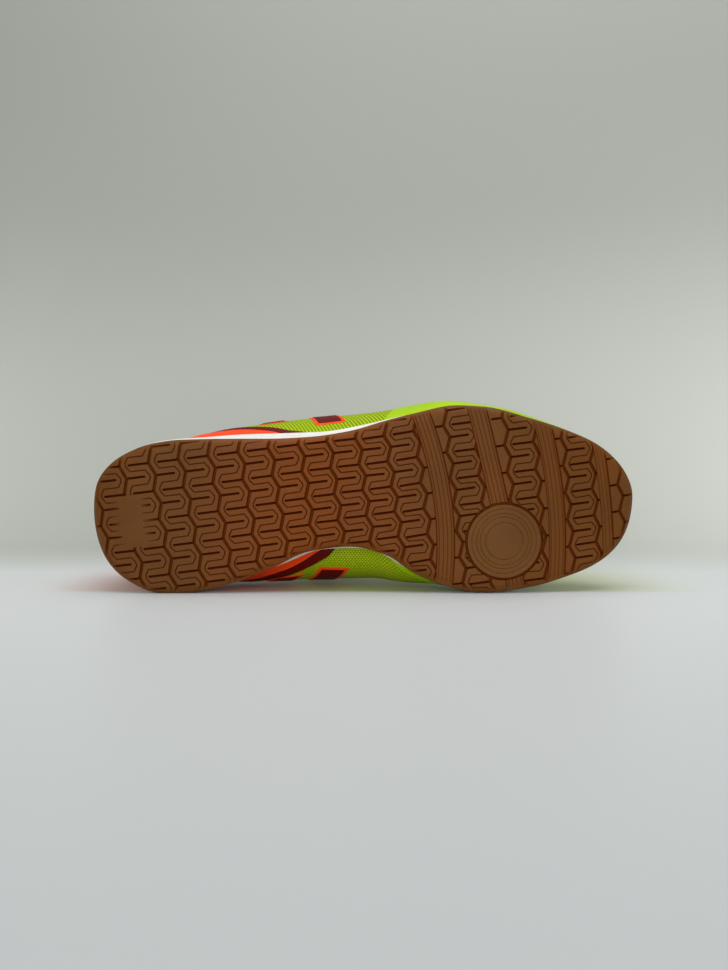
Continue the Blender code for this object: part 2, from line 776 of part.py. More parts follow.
def collar_share(point):
    """How much of the collar's padding the wall has at a point."""
    share = point.x / LENGTH
    top = HEIGHT * SECTION_CURVES["top_height"](angle_of(share))
    below = min(max((top - point.z) / (COLLAR_DEPTH * HEIGHT), 0.0), 1.0)
    ahead = min(max((share - THROAT_TOP + COLLAR_FADE) / COLLAR_FADE, 0.0), 1.0)
    return (1.0 - below) * (1.0 - ahead)


def region_sheet(name, limits, rows, start, end):
    """An overlay between two heights of the wall, from one place along the shoe to another on each side."""
    grid = upper_shares()
    shares_of_side = {}
    for side in (1, -1):
        between = [share for share in grid if start[side] + SHARE_STEP < share < end[side] - SHARE_STEP]
        shares_of_side[side] = [start[side]] + between + [end[side]]

    def ups(side, share):
        low, high = limits(side, share)
        return [low + (high - low) * k / rows for k in range(rows + 1)]

    bm = sheet(shares_of_side, ups, OVERLAY_GAP)
    return new_object(name, bm, closed=False)


def make_toe_guard():
    """Smooth film round the toe and along both sides of the forefoot."""
    curves = {1: plain_curve(TOE_GUARD_INNER), -1: plain_curve(TOE_GUARD_OUTER)}
    start = {1: TOE_GUARD_INNER[0][0], -1: TOE_GUARD_OUTER[0][0]}
    end = {1: 1.0, -1: 1.0}

    def limits(side, share):
        return OVERLAY_FOOT, curves[side](share)

    guard = region_sheet("toe_guard", limits, TOE_GUARD_ROWS, start, end)
    thicken(guard, OVERLAY_THICKNESS, False)
    return guard


def make_heel_counter():
    """Stiff heel counter round the back of the heel."""
    curves = {1: plain_curve(COUNTER_INNER), -1: plain_curve(COUNTER_OUTER)}
    start = {1: 0.0, -1: 0.0}
    end = {1: COUNTER_INNER[-1][0], -1: COUNTER_OUTER[-1][0]}

    def limits(side, share):
        return OVERLAY_FOOT, curves[side](share)

    counter = region_sheet("heel_counter", limits, COUNTER_ROWS, start, end)
    thicken(counter, OVERLAY_THICKNESS, False)
    return counter


def make_heel_band():
    """Band that frames the heel counter."""
    curves = {1: plain_curve(COUNTER_INNER), -1: plain_curve(COUNTER_OUTER)}
    widths = {1: plain_curve(BAND_INNER), -1: plain_curve(BAND_OUTER)}
    end = {1: BAND_INNER[-1][0], -1: BAND_OUTER[-1][0]}

    def limits(side, share):
        low = max(curves[side](share), BAND_FOOT) + BAND_STEP
        return low, low + widths[side](share)

    band = region_sheet("heel_band", limits, BAND_ROWS, {1: 0.0, -1: 0.0}, end)
    thicken(band, OVERLAY_THICKNESS, False)
    return band


def make_eyestay():
    """Film round the throat that carries the lace holes."""
    back = THROAT_TOP + SHARE_STEP
    front = EYESTAY_FRONT - SHARE_STEP
    between = [share for share in upper_shares() if back < share < front]
    shares = [THROAT_TOP] + between + [EYESTAY_FRONT]
    ups = list(np.linspace(EYESTAY_FOOT, 1.0, EYESTAY_ROWS + 1))
    bm = sheet({1: shares, -1: shares}, lambda side, share: ups, OVERLAY_GAP)
    eyestay = new_object("eyestay", bm, closed=False)
    thicken(eyestay, OVERLAY_THICKNESS, False)
    return eyestay


def eyelet_shares():
    """Places of the lace holes along the throat."""
    return [EYELET_FIRST + (EYELET_LAST - EYELET_FIRST) * k / (EYELET_ROWS - 1) for k in range(EYELET_ROWS)]


def punch_eyelets(pieces):
    """Cuts the lace holes through the upper and the eyestay."""
    bm = bmesh.new()
    for share in eyelet_shares():
        for side in (1, -1):
            point = upper_point(share, side, EYELET_UP)
            turn = upper_normal(share, side, EYELET_UP).to_track_quat("Z", "X")
            place = Matrix.Translation(point) @ turn.to_matrix().to_4x4()
            bmesh.ops.create_cone(
                bm, cap_ends=True, segments=EYELET_SIDES, radius1=EYELET_RADIUS, radius2=EYELET_RADIUS,
                depth=4.0 * COLLAR_WALL, matrix=place,
            )  # fmt: skip
    mesh = bpy.data.meshes.new("eyelet_cutter")
    bm.to_mesh(mesh)
    bm.free()
    cutter = bpy.data.objects.new("eyelet_cutter", mesh)
    CUTTERS.objects.link(cutter)
    cutter.hide_render = True
    cutter.display_type = "WIRE"
    for piece in pieces:
        cut = piece.modifiers.new("eyelets", "BOOLEAN")
        cut.operation = "DIFFERENCE"
        cut.solver = "EXACT"
        cut.object = cutter
    return cutter


def tongue_rows():
    """Sections of the tongue's outer face, from under the vamp to its free tip."""
    rows = []
    deep = UPPER_WALL + TONGUE_CLEARANCE
    for k in range(TONGUE_STEPS + 1):
        part = k / TONGUE_STEPS
        share = TONGUE_FRONT[0] + (TONGUE_BACK[0] - TONGUE_FRONT[0]) * part
        up = TONGUE_FRONT[1] + (TONGUE_BACK[1] - TONGUE_FRONT[1]) * part
        ends = []
        for side in (1, -1):
            normal = upper_normal(share, side, up)
            point = upper_point(share, side, up) - normal * deep
            ahead = upper_point(share, side, min(up + SLOPE_STEP, 1.0)) - upper_point(share, side, up)
            ends.append((point, ahead.normalized()))
        (inner, inner_way), (outer, outer_way) = ends
        reach = (inner - outer).length * TONGUE_CROWN
        inner_handle = inner + inner_way * reach
        outer_handle = outer + outer_way * reach
        across = [k / TONGUE_STEPS for k in range(TONGUE_STEPS + 1)]
        rows.append([bezier(inner, inner_handle, outer_handle, outer, t) for t in across])
    way = Vector(TONGUE_TIP_WAY)
    last = rows[-1]
    centre = sum(last, Vector()) / len(last)
    for part, width in TONGUE_TIP:
        rows.append([centre + (point - centre) * width + way * TONGUE_REACH * part for point in last])
    return rows


def bezier(start, first, second, end, t):
    """A point on a curve with two handles."""
    s = 1.0 - t
    return start * s**3 + first * 3.0 * s * s * t + second * 3.0 * s * t * t + end * t**3


def make_tongue():
    """Padded tongue under the laces."""
    bm = bmesh.new()
    grid = [[bm.verts.new(point) for point in row] for row in tongue_rows()]
    for first, second in zip(grid, grid[1:]):
        for k in range(len(first) - 1):
            bm.faces.new((first[k], first[k + 1], second[k + 1], second[k]))
    tongue = new_object("tongue", bm)
    upward = sum(face.normal.z for face in tongue.data.polygons) > 0.0
    thicken(tongue, TONGUE_THICKNESS, upward)
    return tongue


def make_laces():
    """One flat bar of lace across the tongue at each pair of holes."""
    lift = OVERLAY_GAP + OVERLAY_THICKNESS + LACE_LIFT + LACE_THICKNESS / 2.0
    for number, share in enumerate(eyelet_shares(), start=1):
        ends = []
        for side in (1, -1):
            normal = upper_normal(share, side, EYELET_UP)
            top = upper_point(share, side, 1.0)
            ends.append((upper_point(share, side, EYELET_UP) + normal * lift, normal, top))
        (inner, inner_normal, inner_top), (outer, outer_normal, outer_top) = ends
        inner_way = (inner_top + inner_normal * lift - inner).normalized()
        outer_way = (outer_top + outer_normal * lift - outer).normalized()
        inner_handle = inner + inner_way * (inner_top - inner).length * LACE_ARCH
        outer_handle = outer + outer_way * (outer_top - outer).length * LACE_ARCH
        steps = [k / LACE_STEPS for k in range(LACE_STEPS + 1)]
        path = [bezier(inner, inner_handle, outer_handle, outer, t) for t in steps]
        ahead = upper_point(share + SLOPE_STEP, 1, 1.0)
        behind = upper_point(share - SLOPE_STEP, 1, 1.0)
        along = (ahead - behind).normalized()
        sweep_lace(f"lace_bar_{number}", path, along)


def sweep_lace(name, path, along):
    """A flat band with rounded edges along a path."""
    bm = bmesh.new()
    rings = []
    turns = [2.0 * math.pi * k / LACE_SIDES for k in range(LACE_SIDES)]
    wide = LACE_WIDTH / 2.0
    thick = LACE_THICKNESS / 2.0
    corners = [(math.cos(turn) * wide, math.sin(turn) * thick) for turn in turns]
    for k, point in enumerate(path):
        way = (path[min(k + 1, len(path) - 1)] - path[max(k - 1, 0)]).normalized()
        side = (along - way * along.dot(way)).normalized()
        up = way.cross(side)
        rings.append([bm.verts.new(point + side * across + up * rise) for across, rise in corners])
    for first, second in zip(rings, rings[1:]):
        for k in range(LACE_SIDES):
            after = (k + 1) % LACE_SIDES
            bm.faces.new((first[k], first[after], second[after], second[k]))
    bm.faces.new(rings[0])
    bm.faces.new(rings[-1][::-1])
    return new_object(name, bm, finish="lace")


def lay_down(pieces):
    """Turns the shoe onto the face of its hull that it rests on with its inner side down, over the origin."""
    depsgraph = bpy.context.evaluated_depsgraph_get()
    points = []
    for piece in pieces:
        mesh = piece.evaluated_get(depsgraph).to_mesh()
        points += [vertex.co.copy() for vertex in mesh.vertices]
    bm = bmesh.new()
    for point in points:
        bm.verts.new(point)
    hull = bmesh.ops.convex_hull(bm, input=bm.verts)
    faces = [item for item in hull["geom"] if isinstance(item, bmesh.types.BMFace)]
    for face in faces:
        face.normal_update()
    centre = sum(points, Vector()) / len(points)
    down = resting_normal(faces, centre)
    bm.free()
    stand = down.rotation_difference(Vector((0.0, 0.0, -1.0))).to_matrix()
    heading = stand @ Vector((1.0, 0.0, 0.0))
    straight = Matrix.Rotation(-math.atan2(heading.y, heading.x), 3, "Z")
    turn = straight @ stand
    turned = [turn @ point for point in points]
    low = Vector([min(point[k] for point in turned) for k in range(3)])
    high = Vector([max(point[k] for point in turned) for k in range(3)])
    shift = Vector((-(low.x + high.x) / 2.0, -(low.y + high.y) / 2.0, -low.z))
    return Matrix.Translation(shift) @ turn.to_4x4()


def resting_normal(faces, centre):
    """Outward normal of the hull face under the shoe's middle when its inner side is down."""
    best = None
    for face in faces:
        normal = face.normal
        if normal.dot(face.calc_center_median() - centre) < 0.0:
            normal = -normal
        if normal.y < INNER_SIDE_DOWN:
            continue
        corners = [vertex.co for vertex in face.verts]
        reach = (corners[0] - centre).dot(normal)
        foot = centre + normal * reach
        signs = []
        for k, corner in enumerate(corners):
            edge = corners[(k + 1) % len(corners)] - corner
            signs.append(edge.cross(foot - corner).dot(normal))
        covered = all(s >= -FLAT_ROOM for s in signs) or all(s <= FLAT_ROOM for s in signs)
        score = (covered, face.calc_area())
        if best is None or score > best[0]:
            best = (score, normal.copy())
    return best[1]


def main():
    """Builds every piece and lays the shoe down."""
    make_outsole()
    make_midsole()
    make_insole()
    upper = make_upper()
    make_toe_guard()
    make_heel_counter()
    make_heel_band()
    eyestay = make_eyestay()
    cutter = punch_eyelets([upper, eyestay])
    make_tongue()
    make_laces()
    pieces = list(SHOE.objects)
    bpy.context.view_layer.update()
    stand = bpy.data.objects.new("shoe", None)
    SHOE.objects.link(stand)
    stand.matrix_world = lay_down(pieces)
    for piece in pieces + [cutter]:
        piece.parent = stand
    bpy.context.view_layer.update()


for old in list(bpy.data.objects):
    bpy.data.objects.remove(old, do_unlink=True)
SHOE = bpy.data.collections.new("indoor_soccer_shoe")
CUTTERS = bpy.data.collections.new("cutters")
bpy.context.scene.collection.children.link(SHOE)
bpy.context.scene.collection.children.link(CUTTERS)
main()
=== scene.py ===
"""Looks of the indoor soccer shoe: fine meshes, materials, floor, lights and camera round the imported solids.

Lengths are in metres in the shoe's own frame: heel at x = 0, toe at +x, inner side at +y, sole down.
The tread's details are in millimetres. One matrix, read from the record's mounts, lays each mesh down.
"""

import json
import math

import bmesh
import bpy
import numpy as np
from mathutils import Matrix, Vector
from mathutils.geometry import delaunay_2d_cdt


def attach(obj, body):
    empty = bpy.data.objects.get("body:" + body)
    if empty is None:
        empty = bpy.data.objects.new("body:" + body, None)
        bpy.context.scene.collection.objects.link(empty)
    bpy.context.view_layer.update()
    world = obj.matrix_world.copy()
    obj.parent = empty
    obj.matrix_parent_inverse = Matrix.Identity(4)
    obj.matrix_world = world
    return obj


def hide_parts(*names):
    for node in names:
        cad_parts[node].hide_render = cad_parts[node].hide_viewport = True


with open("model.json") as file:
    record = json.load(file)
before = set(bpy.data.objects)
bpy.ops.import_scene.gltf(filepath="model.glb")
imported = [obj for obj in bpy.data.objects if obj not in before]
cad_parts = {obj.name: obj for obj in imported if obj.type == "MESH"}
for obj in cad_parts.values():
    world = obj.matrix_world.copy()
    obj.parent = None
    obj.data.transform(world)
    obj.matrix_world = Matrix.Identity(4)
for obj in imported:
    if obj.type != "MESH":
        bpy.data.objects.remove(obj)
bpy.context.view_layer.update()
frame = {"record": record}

# Driving sizes, as in the solids, with finer ones that only the looks have
LENGTH = 0.288
WIDTH = 0.100
HEIGHT = 0.100
GAP = 0.0003
GUM_THICKNESS = 0.0046
GUM_TOE_THICKNESS = 0.0066
STACK_HEIGHT = 0.0175
TOE_SPRING = 0.012
HEEL_BEVEL = 0.003
ARCH_RISE = 0.0015
MIDSOLE_LEDGE = 0.0014
WAIST_FLARE = 0.0005
HEEL_FLARE = 0.0008
INSOLE_THICKNESS = 0.0030
UPPER_WALL = 0.0022
COLLAR_WALL = 0.0055
PADDING_DEPTH = 0.28
PADDING_FADE = 0.07
INSOLE_CUP = 0.0016
TONGUE_THICKNESS = 0.0040
TONGUE_CLEARANCE = 0.0033
TONGUE_REACH = 0.020
TONGUE_EDGE = 0.10
TONGUE_END = 0.04
QUILT_DEPTH = 0.00035
QUILT_ROWS = 9
EYELET_RADIUS = 0.0020
EYELET_ROWS = 6
LACE_WIDTH = 0.0060
LACE_LIFT = 0.0026
LACE_BOW = 2.3
LACE_INSET = 0.0015
LACE_DRIFT = 0.0002
LACE_SIDES = 16
LACE_ROUNDING = 0.7
LACE_BUNCH = (0.30, 0.36, 1.0)
LACE_HALF_THICKNESS = (0.00085, 0.00055)
HEEL_BEVEL_END = 0.10
ARCH_START = 0.34
ARCH_END = 0.58
SPRING_START = 0.72
THROAT_FRONT = 0.665
THROAT_TOP = 0.415

# Where the flat mount under the heel lies in the shoe's own frame
MOUNT_PLACE = (0.03922, -0.02798, 0.0)

# Sole outline: share of the length, inner and outer edge as shares of the width
OUTLINE_COLUMNS = ("along", "inner", "outer")
OUTLINE = (
    (0.000, 0.010, 0.010),
    (0.0056, 0.150, -0.124),
    (0.028, 0.290, -0.226),
    (0.062, 0.376, -0.296),
    (0.118, 0.441, -0.353),
    (0.162, 0.444, -0.368),
    (0.254, 0.390, -0.372),
    (0.325, 0.314, -0.371),
    (0.398, 0.222, -0.379),
    (0.472, 0.201, -0.409),
    (0.539, 0.247, -0.463),
    (0.590, 0.344, -0.500),
    (0.666, 0.427, -0.541),
    (0.716, 0.448, -0.533),
    (0.800, 0.425, -0.472),
    (0.868, 0.376, -0.408),
    (0.924, 0.317, -0.337),
    (0.968, 0.226, -0.238),
    (0.990, 0.124, -0.150),
    (1.000, -0.043, -0.043),
)

# Height of the midsole's top over the tread: share of the length, share of the stack height
STACK_COLUMNS = ("along", "height")
STACK = (
    (0.00, 0.96),
    (0.10, 1.00),
    (0.25, 1.00),
    (0.40, 0.91),
    (0.50, 0.78),
    (0.62, 0.70),
    (0.72, 0.66),
    (0.85, 0.58),
    (1.00, 0.50),
)

# Belly of the midsole's side: share of its height, share of the full bulge
BELLY = (
    (0.0, 0.0), (0.04, 0.35), (0.16, 0.75), (0.34, 0.97), (0.46, 1.0), (0.495, 0.78),
    (0.53, 1.0), (0.70, 0.93), (0.86, 0.62), (0.96, 0.22), (1.0, 0.0),
)  # fmt: skip

# Where the midsole flares by a little more, as shares of the length
WAIST_FLARE_PLACES = (0.32, 0.40, 0.56, 0.64)
HEEL_FLARE_PLACES = (0.03, 0.09, 0.22, 0.32)

# Upper sections: widths are shares of the width, heights are shares of the height
SECTION_COLUMNS = (
    "along",
    "base_inner", "base_outer",
    "low_inner", "low_outer",
    "high_inner", "high_outer",
    "top_inner", "top_outer",
    "low_height", "high_height", "top_height",
)  # fmt: skip
SECTIONS = (
    (0.000, 0.010, 0.010, 0.010, 0.010, 0.010, 0.010, 0.010, 0.010, 0.34, 0.56, 0.760),
    (0.020, 0.225, -0.185, 0.215, -0.190, 0.180, -0.160, 0.130, -0.115, 0.34, 0.56, 0.755),
    (0.060, 0.345, -0.275, 0.345, -0.290, 0.300, -0.262, 0.205, -0.195, 0.34, 0.54, 0.725),
    (0.120, 0.410, -0.328, 0.425, -0.345, 0.375, -0.325, 0.255, -0.250, 0.34, 0.51, 0.670),
    (0.200, 0.400, -0.348, 0.450, -0.412, 0.425, -0.405, 0.275, -0.275, 0.33, 0.49, 0.625),
    (0.280, 0.347, -0.374, 0.490, -0.468, 0.480, -0.450, 0.275, -0.275, 0.31, 0.52, 0.665),
    (0.350, 0.277, -0.382, 0.500, -0.510, 0.530, -0.485, 0.245, -0.255, 0.29, 0.58, 0.780),
    (0.420, 0.205, -0.388, 0.520, -0.540, 0.550, -0.500, 0.170, -0.200, 0.28, 0.65, 0.905),
    (0.500, 0.201, -0.424, 0.540, -0.570, 0.540, -0.515, 0.135, -0.170, 0.27, 0.66, 0.830),
    (0.580, 0.306, -0.468, 0.550, -0.605, 0.490, -0.520, 0.105, -0.140, 0.26, 0.62, 0.735),
    (0.645, 0.386, -0.503, 0.520, -0.650, 0.440, -0.490, 0.060, -0.095, 0.25, 0.58, 0.655),
    (0.665, 0.400, -0.510, 0.515, -0.655, 0.420, -0.475, -0.018, -0.018, 0.25, 0.58, 0.635),
    (0.750, 0.420, -0.488, 0.510, -0.625, 0.330, -0.400, -0.025, -0.025, 0.25, 0.54, 0.555),
    (0.850, 0.368, -0.408, 0.440, -0.527, 0.260, -0.320, -0.035, -0.035, 0.25, 0.475, 0.485),
    (0.920, 0.300, -0.326, 0.365, -0.430, 0.200, -0.250, -0.040, -0.040, 0.27, 0.430, 0.435),
    (0.970, 0.205, -0.222, 0.250, -0.294, 0.130, -0.180, -0.043, -0.043, 0.28, 0.380, 0.380),
    (1.000, -0.043, -0.043, -0.043, -0.043, -0.043, -0.043, -0.043, -0.043, 0.24, 0.280, 0.300),
)

# Back of the heel and front of the toe: share of the wall's height, shares of the length
ENDS = (
    (0.00, 0.016, 0.986),
    (0.35, 0.004, 0.988),
    (0.70, 0.014, 0.986),
    (1.00, 0.034, 0.982),
)

# Tread columns: the column's number, its first corner along and across, and the step from corner to corner
TREAD_TABLE = (
    (-4, 0.0115, -0.1500, 0.0082, 0.1490),
    (0, 0.2275, -0.2240, 0.0085, 0.1460),
    (3, 0.3903, -0.2810, 0.0065, 0.1410),
    (6, 0.5467, -0.3280, 0.0062, 0.1325),
    (8, 0.6540, -0.3770, 0.0060, 0.1386),
    (11, 0.8124, -0.4320, 0.0047, 0.1450),
    (13, 0.9150, -0.4620, 0.0047, 0.1424),
    (15, 1.0147, -0.4990, 0.0047, 0.1424),
)
TREAD_ROWS = range(-2, 7)

# Where a left-hand corner lies between two right-hand ones, and the columns whose bars a channel cuts short
TREAD_LEFT_CORNER = 0.545
COLUMNS_BEFORE_CHANNEL = (7, 9, 11, 13)
COLUMNS_AFTER_CHANNEL = (8, 10, 12, 14)

# Flex channels: place along at three places across, and the width, as shares of the length.
# The places across are shares of the shoe's width
CHANNEL_ACROSS = (-0.50, 0.0, 0.40)
CHANNEL_REACH = (-0.62, 0.54)
CHANNELS = (
    (0.601, 0.643, 0.643, 0.0340),
    (0.705, 0.7465, 0.775, 0.0345),
    (0.817, 0.850, 0.851, 0.0325),
    (0.915, 0.946, 0.952, 0.0220),
)
DISC_CENTRE = (0.754, 0.174)
HEEL_PAD = ((0.047, -0.072), (0.086, -0.085), (0.097, 0.185), (0.058, 0.200))

# Tread details in millimetres: depths, half widths and reaches, and how much painted shade each kind of cut
# gets
MM = 1000.0
TREAD_DEPTH = 1.8
ZIGZAG_HALF = 0.80
ZIGZAG_SWING = 2.8
BAR_HALF = 0.58
RIGHT_BAR = 9.4
LEFT_BAR = 10.5
SHORT_BAR = 5.0
SIPE_HALF = 0.29
SIPE_WALL = 0.16
SIPE_DEPTH = 0.8
SIPE_LIP = 0.08
SIPE_SHADE = 0.85
SIPE_CHAMFERS = (2.8, 1.9)
CUT_SHADES = {"zigzag": 0.36, "bar": 0.56}
CHANNEL_DEPTH = 1.0
CHANNEL_WALL = 0.3
CHANNEL_EDGE = 0.9
CHANNEL_TONE = 0.14
EDGE_SHADE = 0.90
EDGE_SHADES = (0.0, 1.0, 0.2)
LINE_SHADE = 1.2
CHANNEL_LINES = (-3.3, -1.1, 1.1, 3.3)
LINE_MARGIN = 0.8
LINE_HALF = 0.32
LINE_HEIGHT = 0.28
DISC_RADIUS = 20.1
DISC_GROOVE_HALF = 0.6
DISC_RINGS = (17.2, 14.7, 12.8, 9.9)
RING_HALF = 0.45
RING_HEIGHT = 0.30
RING_SHADE = 0.6
GROOVE_SHADE = 0.7
RIM_REACH = 4.6
RIM_LIFT = 2.3
RIM_LINES = (0.35, 0.9, 1.7, 2.7, 3.6, RIM_REACH)
RIM_FADE = (0.2, 2.8)
RIM_CURVE = 2.2
RIM_TONE = 0.35
LIP = 0.14
LIP_DEPTH = 0.25
LIP_SHARE = 0.3
CUT_WALL = 0.24
SIDE_BULGE = 0.25
SIDE_TONE = 0.06
SIDE_SHARES = (0.30, 0.62, 0.90, 1.0)
PLAN_ALONG = (1.0, 288.0)
PLAN_ACROSS = (-56.0, 48.0)
PLAN_STEP = 2.6

# Corners of the thin winding cut in each row: millimetres from the column, share of a row
SIPE_WAY = ((12.4, -0.23), (12.4, 0.27), (0.6, 0.27), (0.6, 0.77))

# Overlays: share of the length, upper edge or width as a share of the wall's height, on each side
COUNTER_INNER = (
    (0.00, 0.78), (0.08, 0.68), (0.18, 0.38), (0.27, 0.19), (0.36, 0.10), (0.40, 0.05), (0.425, 0.012),
)  # fmt: skip
COUNTER_OUTER = ((0.00, 0.78), (0.08, 0.66), (0.18, 0.39), (0.25, 0.225), (0.30, 0.11), (0.335, 0.04))
BAND_INNER = (
    (0.00, 0.20), (0.10, 0.19), (0.24, 0.15), (0.36, 0.10), (0.41, 0.085), (0.435, 0.055), (0.44, 0.02),
)  # fmt: skip
BAND_OUTER = ((0.00, 0.20), (0.10, 0.19), (0.20, 0.16), (0.28, 0.10), (0.33, 0.08), (0.395, 0.012))
TOE_GUARD_INNER = ((0.545, 0.04), (0.62, 0.15), (0.72, 0.27), (0.84, 0.40), (0.93, 0.60), (1.00, 0.80))
TOE_GUARD_OUTER = ((0.535, 0.04), (0.575, 0.30), (0.72, 0.40), (0.84, 0.46), (0.93, 0.62), (1.00, 0.80))
FILM_FOOT = 0.012
BAND_FOOT = 0.008
BAND_GAP = 0.004
EYESTAY_FRONT = 0.695
EYESTAY_FOOT = 0.84
EYELET_UP = 0.925
EYELET_SHARES = np.linspace(0.435, 0.635, EYELET_ROWS)
EYELET_RIM = 0.00045
EYELET_RIM_HEIGHT = 0.0003

# Tongue under the throat: share of the length and of the wall where it starts and where it leaves the throat
TONGUE_FOOT = (0.72, 0.80)
TONGUE_NECK = (0.44, 0.95)
TONGUE_BOW = 0.30
TONGUE_LEAN = (-0.40, 0.0, 0.92)
TONGUE_TIP = ((0.0, 1.0), (0.35, 0.80), (0.65, 0.75), (0.88, 0.56), (1.0, 0.42))

# Heights of a lace over the film on its way out of a hole
LACE_DIVE = (-0.0052, -0.0036, -0.0018, 0.0, 0.0012, 0.0020)

# Soft troughs and ridges of the upper: place along and up, reach along and up, height (a trough is negative)
CREASES = (
    (0.700, 1.00, 0.012, 0.40, -0.0009),
    (0.722, 1.00, 0.010, 0.42, 0.0006),
    (0.745, 1.00, 0.012, 0.36, -0.0008),
    (0.770, 1.00, 0.013, 0.34, 0.0005),
    (0.330, 0.62, 0.040, 0.22, -0.0012),
    (0.240, 0.55, 0.050, 0.16, 0.0006),
    (0.520, 0.50, 0.045, 0.20, -0.0008),
)

# Films on the upper: how far they stand off it, how thick they are, and the share of that left at an edge
FILM_LIFT = 0.00006
FILM_THICKNESS = 0.0005
COUNTER_THICKNESS = 0.0007
PATCH_THICKNESS = 0.00035
FILM_EDGE = 0.45

# Height of the wall that a side bar's border is measured by, and how wide the knit's two sides blend
BAR_RISE = 0.09
KNIT_BLEND = 0.02

# Third flat coordinate of either side, so that their noise differs, and the share of the wall for a slope
SIDE_APART = 0.01
PROBE = 0.02

# Two slanted bars on each side: start along at the foot, width along, foot and head up, and the slant along
SIDE_BARS = {
    1: ((0.412, 0.058, 0.185, 0.52, -0.036), (0.325, 0.056, 0.24, 0.52, -0.036)),
    -1: ((0.4075, 0.058, 0.135, 0.52, -0.020), (0.306, 0.050, 0.30, 0.52, -0.020)),
}
BAR_BORDER = 0.0019

# How finely the surfaces are divided
SOLE_STEPS = 110
BAND_END_STEPS = 6
UPPER_STEPS = 150
WALL_STEPS = 40
EDGE_STEPS = 6

# Turns in degrees and pitches of the knit's ribs, of its stitches and of the three rows that make its dots
KNIT_ROWS = ((-24.0, 0.0017), (66.0, 0.0011), (30.0, 0.0014), (90.0, 0.0014), (150.0, 0.0014))

# Floor and the wide curve up into the wall
FLOOR_HALF = 2.2
FLOOR_DEPTHS = (-1.6, -1.0, -0.6, -0.3, -0.1)
COVE_START = 0.12
COVE_RADIUS = 0.32
BACKDROP_HEIGHTS = (1.2, 2.2)

# Lights: name, place, size, power and colour
LIGHT_TARGET = (0.0, 0.0, 0.05)
LIGHTS = (
    ("key", (0.10, -0.25, 1.25), 1.1, 11.0, (1.0, 1.0, 1.0)),
    ("fill", (-0.20, -2.05, 0.52), 0.8, 15.5, (1.0, 0.98, 0.95)),
)

# Camera, by the photograph's focal length in pixels
FOCAL_PIXELS = 1000.0
IMAGE_HEIGHT = 970.0
SENSOR = 36.0
CAMERA_PLACE = (-0.0006, -0.5752, 0.0797)
CAMERA_TILT = 2.4


def angle_of(share):
    """Where a share of the length lies on a half turn, so that both ends of the shoe come out round."""
    return np.arccos(1.0 - 2.0 * np.clip(share, 0.0, 1.0))


def curve_through(places, values):
    """A smooth curve through the values that never swings past them."""
    steps = np.diff(places)
    slopes = np.diff(values) / steps
    tangents = np.zeros(len(values))
    tangents[0] = slopes[0]
    tangents[-1] = slopes[-1]
    for k in range(1, len(values) - 1):
        if slopes[k - 1] * slopes[k] > 0.0:
            before = 2.0 * steps[k] + steps[k - 1]
            after = steps[k] + 2.0 * steps[k - 1]
            tangents[k] = (before + after) / (before / slopes[k - 1] + after / slopes[k])

    def value(place):
        place = np.asarray(place, float)
        k = np.clip(np.searchsorted(places, place) - 1, 0, len(steps) - 1)
        t = (place - places[k]) / steps[k]
        bend = steps[k] * t * (1.0 - t) * ((1.0 - t) * tangents[k] - t * tangents[k + 1])
        return values[k] + (values[k + 1] - values[k]) * t * t * (3.0 - 2.0 * t) + bend

    return value


def table_curves(table, columns):
    """One curve for each named column of a table whose first column is a share of the length."""
    places = angle_of(np.array([row[0] for row in table]))
    return {
        name: curve_through(places, np.array([row[number] for row in table]))
        for number, name in enumerate(columns[1:], start=1)
    }


def plain_curve(pairs):
    """A smooth curve through pairs of place and value."""
    return curve_through(*np.array(pairs, float).T)


OUTLINE_CURVES = table_curves(OUTLINE, OUTLINE_COLUMNS)
STACK_CURVES = table_curves(STACK, STACK_COLUMNS)
SECTION_CURVES = table_curves(SECTIONS, SECTION_COLUMNS)
HEEL_CURVE = plain_curve([row[:2] for row in ENDS])
TOE_CURVE = plain_curve([row[::2] for row in ENDS])


def ramp(value, low, high):
    """How far a value has come from one bound to the other, between 0 and 1."""
    return np.clip((np.asarray(value, float) - low) / (high - low), 0.0, 1.0)


def tread_height(x):
    """Height of the sole's underside: bevelled heel, flat tread, slight arch, toe spring."""
    heel = HEEL_BEVEL * ramp(x / LENGTH, HEEL_BEVEL_END, 0.0) ** 2
    toe = TOE_SPRING * ramp(x / LENGTH, SPRING_START, 1.0) ** 2
    return heel + toe + ARCH_RISE * np.sin(np.pi * ramp(x / LENGTH, ARCH_START, ARCH_END)) ** 2


def gum_top(x):
    """Height of the outsole's upper face."""
    thicker = (GUM_TOE_THICKNESS - GUM_THICKNESS) * ramp(x / LENGTH, SPRING_START, 1.0) ** 2
    return tread_height(x) + GUM_THICKNESS + thicker


def midsole_top(x):
    """Height of the face that the upper and the insole stand on."""
    return tread_height(x) + STACK_HEIGHT * STACK_CURVES["height"](angle_of(x / LENGTH))


def section_shares(count):
    """Shares of the length, close together at the heel and the toe."""
    return (1.0 - np.cos(np.pi * np.arange(count + 1) / count)) / 2.0


def closed_loop(curves, inner, outer, start, end, count):
    """Points of an outline, from the heel along the inner edge to the toe and back along the outer edge."""
    shares = section_shares(count)
    xs = start + (end - start) * shares
    inner_side = np.column_stack([xs, WIDTH * curves[inner](angle_of(shares))])
    outer_side = np.column_stack([xs, WIDTH * curves[outer](angle_of(shares))])
    return np.vstack([inner_side, outer_side[-2:0:-1]])


def offset_loop(loop, distance):
    """The loop moved outwards by a distance, or inwards where the distance is negative."""
    along = np.roll(loop, -1, axis=0) - np.roll(loop, 1, axis=0)
    along /= np.linalg.norm(along, axis=1)[:, None]
    return loop + np.column_stack([-along[:, 1], along[:, 0]]) * np.broadcast_to(distance, len(loop))[:, None]


